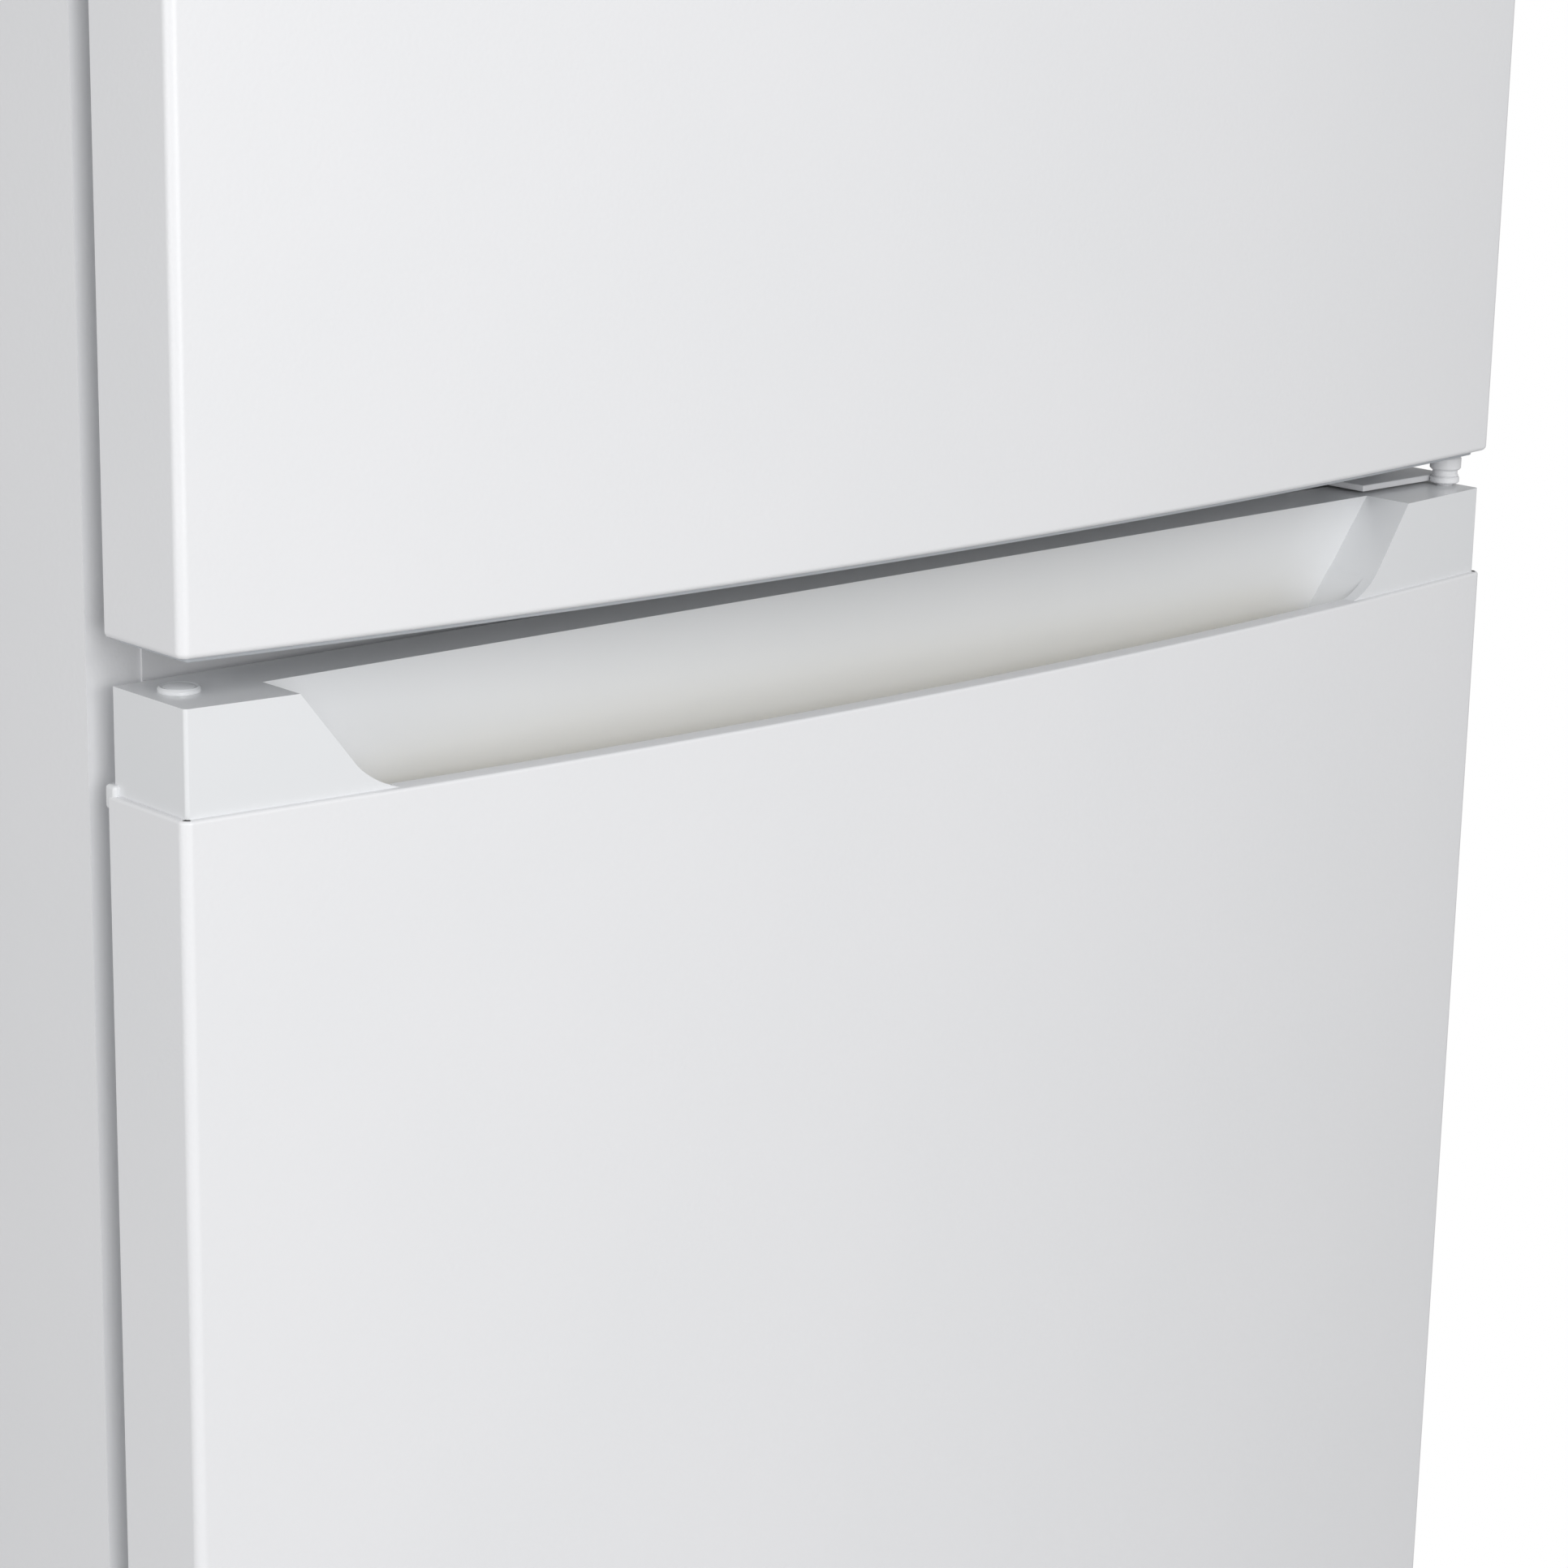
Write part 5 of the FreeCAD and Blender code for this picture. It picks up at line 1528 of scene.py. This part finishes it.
@dataclass
class Covers:
    """Small mouldings: the cover on the top hinge, the lamp's lens and the lower panel's edge clip."""

    wall: float = 1.8 * MM
    corner: float = 10 * MM
    dome: float = 6 * MM
    lens_corner: float = 6 * MM
    lens_wall: float = 2.5 * MM

    def hinge_cover(self, shop: Workshop) -> None:
        """Cover with a domed top.

        Args:
            shop: the workshop.
        """
        low, high = corners_of("top_hinge_cover")

        def loop(inset: float, z: float) -> list[Vector]:
            """Outline of the cover, drawn in, at a height."""
            points = rounded_loop((low.x, low.y), (high.x, high.y), inset, self.corner, 6)
            return [Vector((x, y, z)) for x, y in points]

        outside, inside = [], []
        shoulder = high.z - self.dome
        for angle in range(0, 91, 15):
            turn = math.radians(angle)
            outside.append(loop(self.dome * (1 - math.cos(turn)), shoulder + self.dome * math.sin(turn)))
            reach = self.dome - self.wall
            inside.append(loop(self.wall + reach * (1 - math.cos(turn)), shoulder + reach * math.sin(turn)))
        mesh = lofted([*reversed(inside), loop(self.wall, low.z), loop(0.0, low.z), *outside])
        shop.piece("top_hinge_dome", mesh, "white_plastic", "cabinet", "top_hinge_cover", smooth_angle=50.0)

    def lens(self, shop: Workshop) -> None:
        """Tray shaped lens over the lamp.

        Args:
            shop: the workshop.
        """
        low, high = corners_of("lamp_lens")

        def loop(inset: float, z: float) -> list[Vector]:
            """Outline of the lens, drawn in, at a height."""
            points = rounded_loop((low.x, low.y), (high.x, high.y), inset, self.lens_corner, 5)
            return [Vector((x, y, z)) for x, y in points]

        wall = self.lens_wall
        tray = lofted([
            loop(2 * MM, low.z), loop(0.6 * MM, low.z + 0.6 * MM), loop(0.0, low.z + 2 * MM),
            loop(0.0, high.z), loop(wall, high.z), loop(wall, low.z + wall),
            loop(wall + 2 * MM, low.z + 2 * MM),
        ])
        shop.piece("lamp_lens_tray", tray, "frosted_plastic", "cabinet", "lamp_lens", smooth_angle=45.0)

    def edge_clip(self, shop: Workshop, plan: DoorPlan) -> None:
        """Small clip that shows at the lower door's rear edge, beside the cap's seam.

        Args:
            shop: the workshop.
            plan: plan of the doors.
        """
        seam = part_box("fridge_door_skin")[1][2]
        mesh = block(
            Vector((-plan.half + 0.4 * MM, plan.rear - 3 * MM, seam - 5.5 * MM)),
            Vector((-plan.half + 7 * MM, plan.rear + 3.5 * MM, seam + 4 * MM)),
        )
        soften(mesh, 1.6 * MM, 4)
        shop.piece("panel_edge_clip", mesh, "gloss_white_plastic", "fridge_door")

    def build(self, shop: Workshop, plan: DoorPlan) -> None:
        """Make the covers.

        Args:
            shop: the workshop.
            plan: plan of the doors.
        """
        self.hinge_cover(shop)
        self.lens(shop)
        self.edge_clip(shop, plan)


# ---- studio -----------------------------------------------------------------------------------------

@dataclass(frozen=True)
class SoftBox:
    """Square soft light."""

    name: str
    place: tuple[float, float, float]
    size: float
    power: float

    def build(self, target: Vector) -> None:
        """Hang the light so that it faces a point.

        Args:
            target: the point.
        """
        data = bpy.data.lights.new(self.name, "AREA")
        data.size = self.size
        data.energy = self.power
        lamp = bpy.data.objects.new(self.name, data)
        lamp.location = self.place
        lamp.rotation_euler = (target - lamp.location).to_track_quat("-Z", "Y").to_euler()
        bpy.context.scene.collection.objects.link(lamp)


@dataclass
class Studio:
    """Pale floor, soft light and the camera."""

    eye: tuple[float, float, float] = (-1.1310, -1.4994, 1.4702)
    yaw: float = 42.70
    pitch: float = -14.605
    roll: float = 1.126
    lens: float = 89.4
    surround: float = 0.38
    floor_radius: float = 1.15
    lights: tuple[SoftBox, ...] = (
        SoftBox("front", (-0.7, -3.2, 2.75), 2.4, 58.0),
        SoftBox("key", (-0.95, -2.3, 1.3), 1.0, 9.5),
        SoftBox("left", (-3.2, -0.6, 1.6), 2.0, 30.0),
    )

    def camera(self) -> None:
        """Place the camera that looks down across the junction of the doors."""
        data = bpy.data.cameras.new("camera")
        data.lens = self.lens
        data.sensor_width = 36.0
        data.clip_end = 100.0
        camera = bpy.data.objects.new("camera", data)
        yaw, pitch, roll = (math.radians(angle) for angle in (self.yaw, self.pitch, self.roll))
        ahead = Vector((math.sin(yaw) * math.cos(pitch), math.cos(yaw) * math.cos(pitch), math.sin(pitch)))
        right = Vector((math.cos(yaw), -math.sin(yaw), 0.0))
        up = right.cross(ahead)
        turned_right = right * math.cos(roll) + up * math.sin(roll)
        turned_up = up * math.cos(roll) - right * math.sin(roll)
        columns = (turned_right, turned_up, -ahead)
        turn = Matrix([[column[row] for column in columns] for row in range(3)]).to_4x4()
        camera.matrix_world = Matrix.Translation(self.eye) @ turn
        bpy.context.scene.collection.objects.link(camera)
        bpy.context.scene.camera = camera

    def surroundings(self) -> None:
        """White backdrop that lights the room less than it shows."""
        world = bpy.data.worlds.new("studio")
        world.use_nodes = True
        tree = world.node_tree
        tree.nodes.clear()
        path = tree.nodes.new("ShaderNodeLightPath")
        mix = tree.nodes.new("ShaderNodeMixShader")
        output = tree.nodes.new("ShaderNodeOutputWorld")
        tree.links.new(path.outputs["Is Camera Ray"], mix.inputs[0])
        for slot, strength in ((1, self.surround), (2, 1.0)):
            background = tree.nodes.new("ShaderNodeBackground")
            background.inputs["Strength"].default_value = strength
            background.inputs["Color"].default_value = (1.0, 1.0, 1.0, 1.0)
            tree.links.new(background.outputs[0], mix.inputs[slot])
        tree.links.new(mix.outputs[0], output.inputs["Surface"])
        bpy.context.scene.world = world

    def build(self) -> None:
        """Make the floor, the surroundings, the lights and the camera."""
        floor = bmesh.new()
        bmesh.ops.create_circle(floor, cap_ends=True, radius=self.floor_radius, segments=128)
        data = bpy.data.meshes.new("floor")
        floor.to_mesh(data)
        floor.free()
        graph = Graph("pale_floor")
        wear = graph.add("ShaderNodeTexNoise", links={"Vector": graph.place, "Scale": 0.6})
        tint = graph.add("ShaderNodeMix", {"data_type": "RGBA"}, {
            MIX_FACTOR: wear.outputs["Fac"], MIX_FIRST: linear("F2F3F4"), MIX_SECOND: linear("F6F7F8"),
        })
        data.materials.append(graph.finish({"Base Color": tint.outputs[MIX_RESULT], "Roughness": 0.7}))
        ground = bpy.data.objects.new("floor", data)
        bpy.context.scene.collection.objects.link(ground)
        self.surroundings()
        for light in self.lights:
            light.build(Vector((0.0, 0.0, 1.1)))
        bpy.context.scene.view_settings.view_transform = "Standard"
        self.camera()


def main() -> None:
    """Build the refrigerator and its studio."""
    logging.basicConfig(level=logging.INFO, format="%(name)s %(message)s")
    shop = Workshop()
    shop.dress_frame()
    plan = DoorPlan()
    for door in DOORS:
        name = door.body
        SteelPanel(name + "_panel", name + "_skin", name, door.shoulder).build(plan, shop)
        EndCap(name + "_foot", name + "_bottom_cap", name + "_skin", name).build(plan, shop, False)
        DoorLining(name + "_lining", name + "_liner", name, door.rim_gaps, door.bins).build(shop)
        DoorSeal(name + "_seal", name + "_gasket", name).build(shop)
    head = EndCap("freezer_door_head", "freezer_door_top_cap", "freezer_door_skin", "freezer_door")
    head.build(plan, shop, True)
    HandleCap().build(plan, shop)
    for node, front_drop in BIN_DROPS.items():
        door_bin(node, front_drop).build(shop)
    DairyShelf().build(shop)
    for node in ("freezer_shelf", "upper_shelf", "lower_shelf"):
        GlassShelf(node).build(shop)
    for node in ("left_crisper", "right_crisper"):
        Crisper(node).build(shop)
    MiddleHinge().build(shop)
    RoundFittings().build(shop)
    Covers().build(shop, plan)
    Studio().build()


if __name__ == "__main__":
    main()
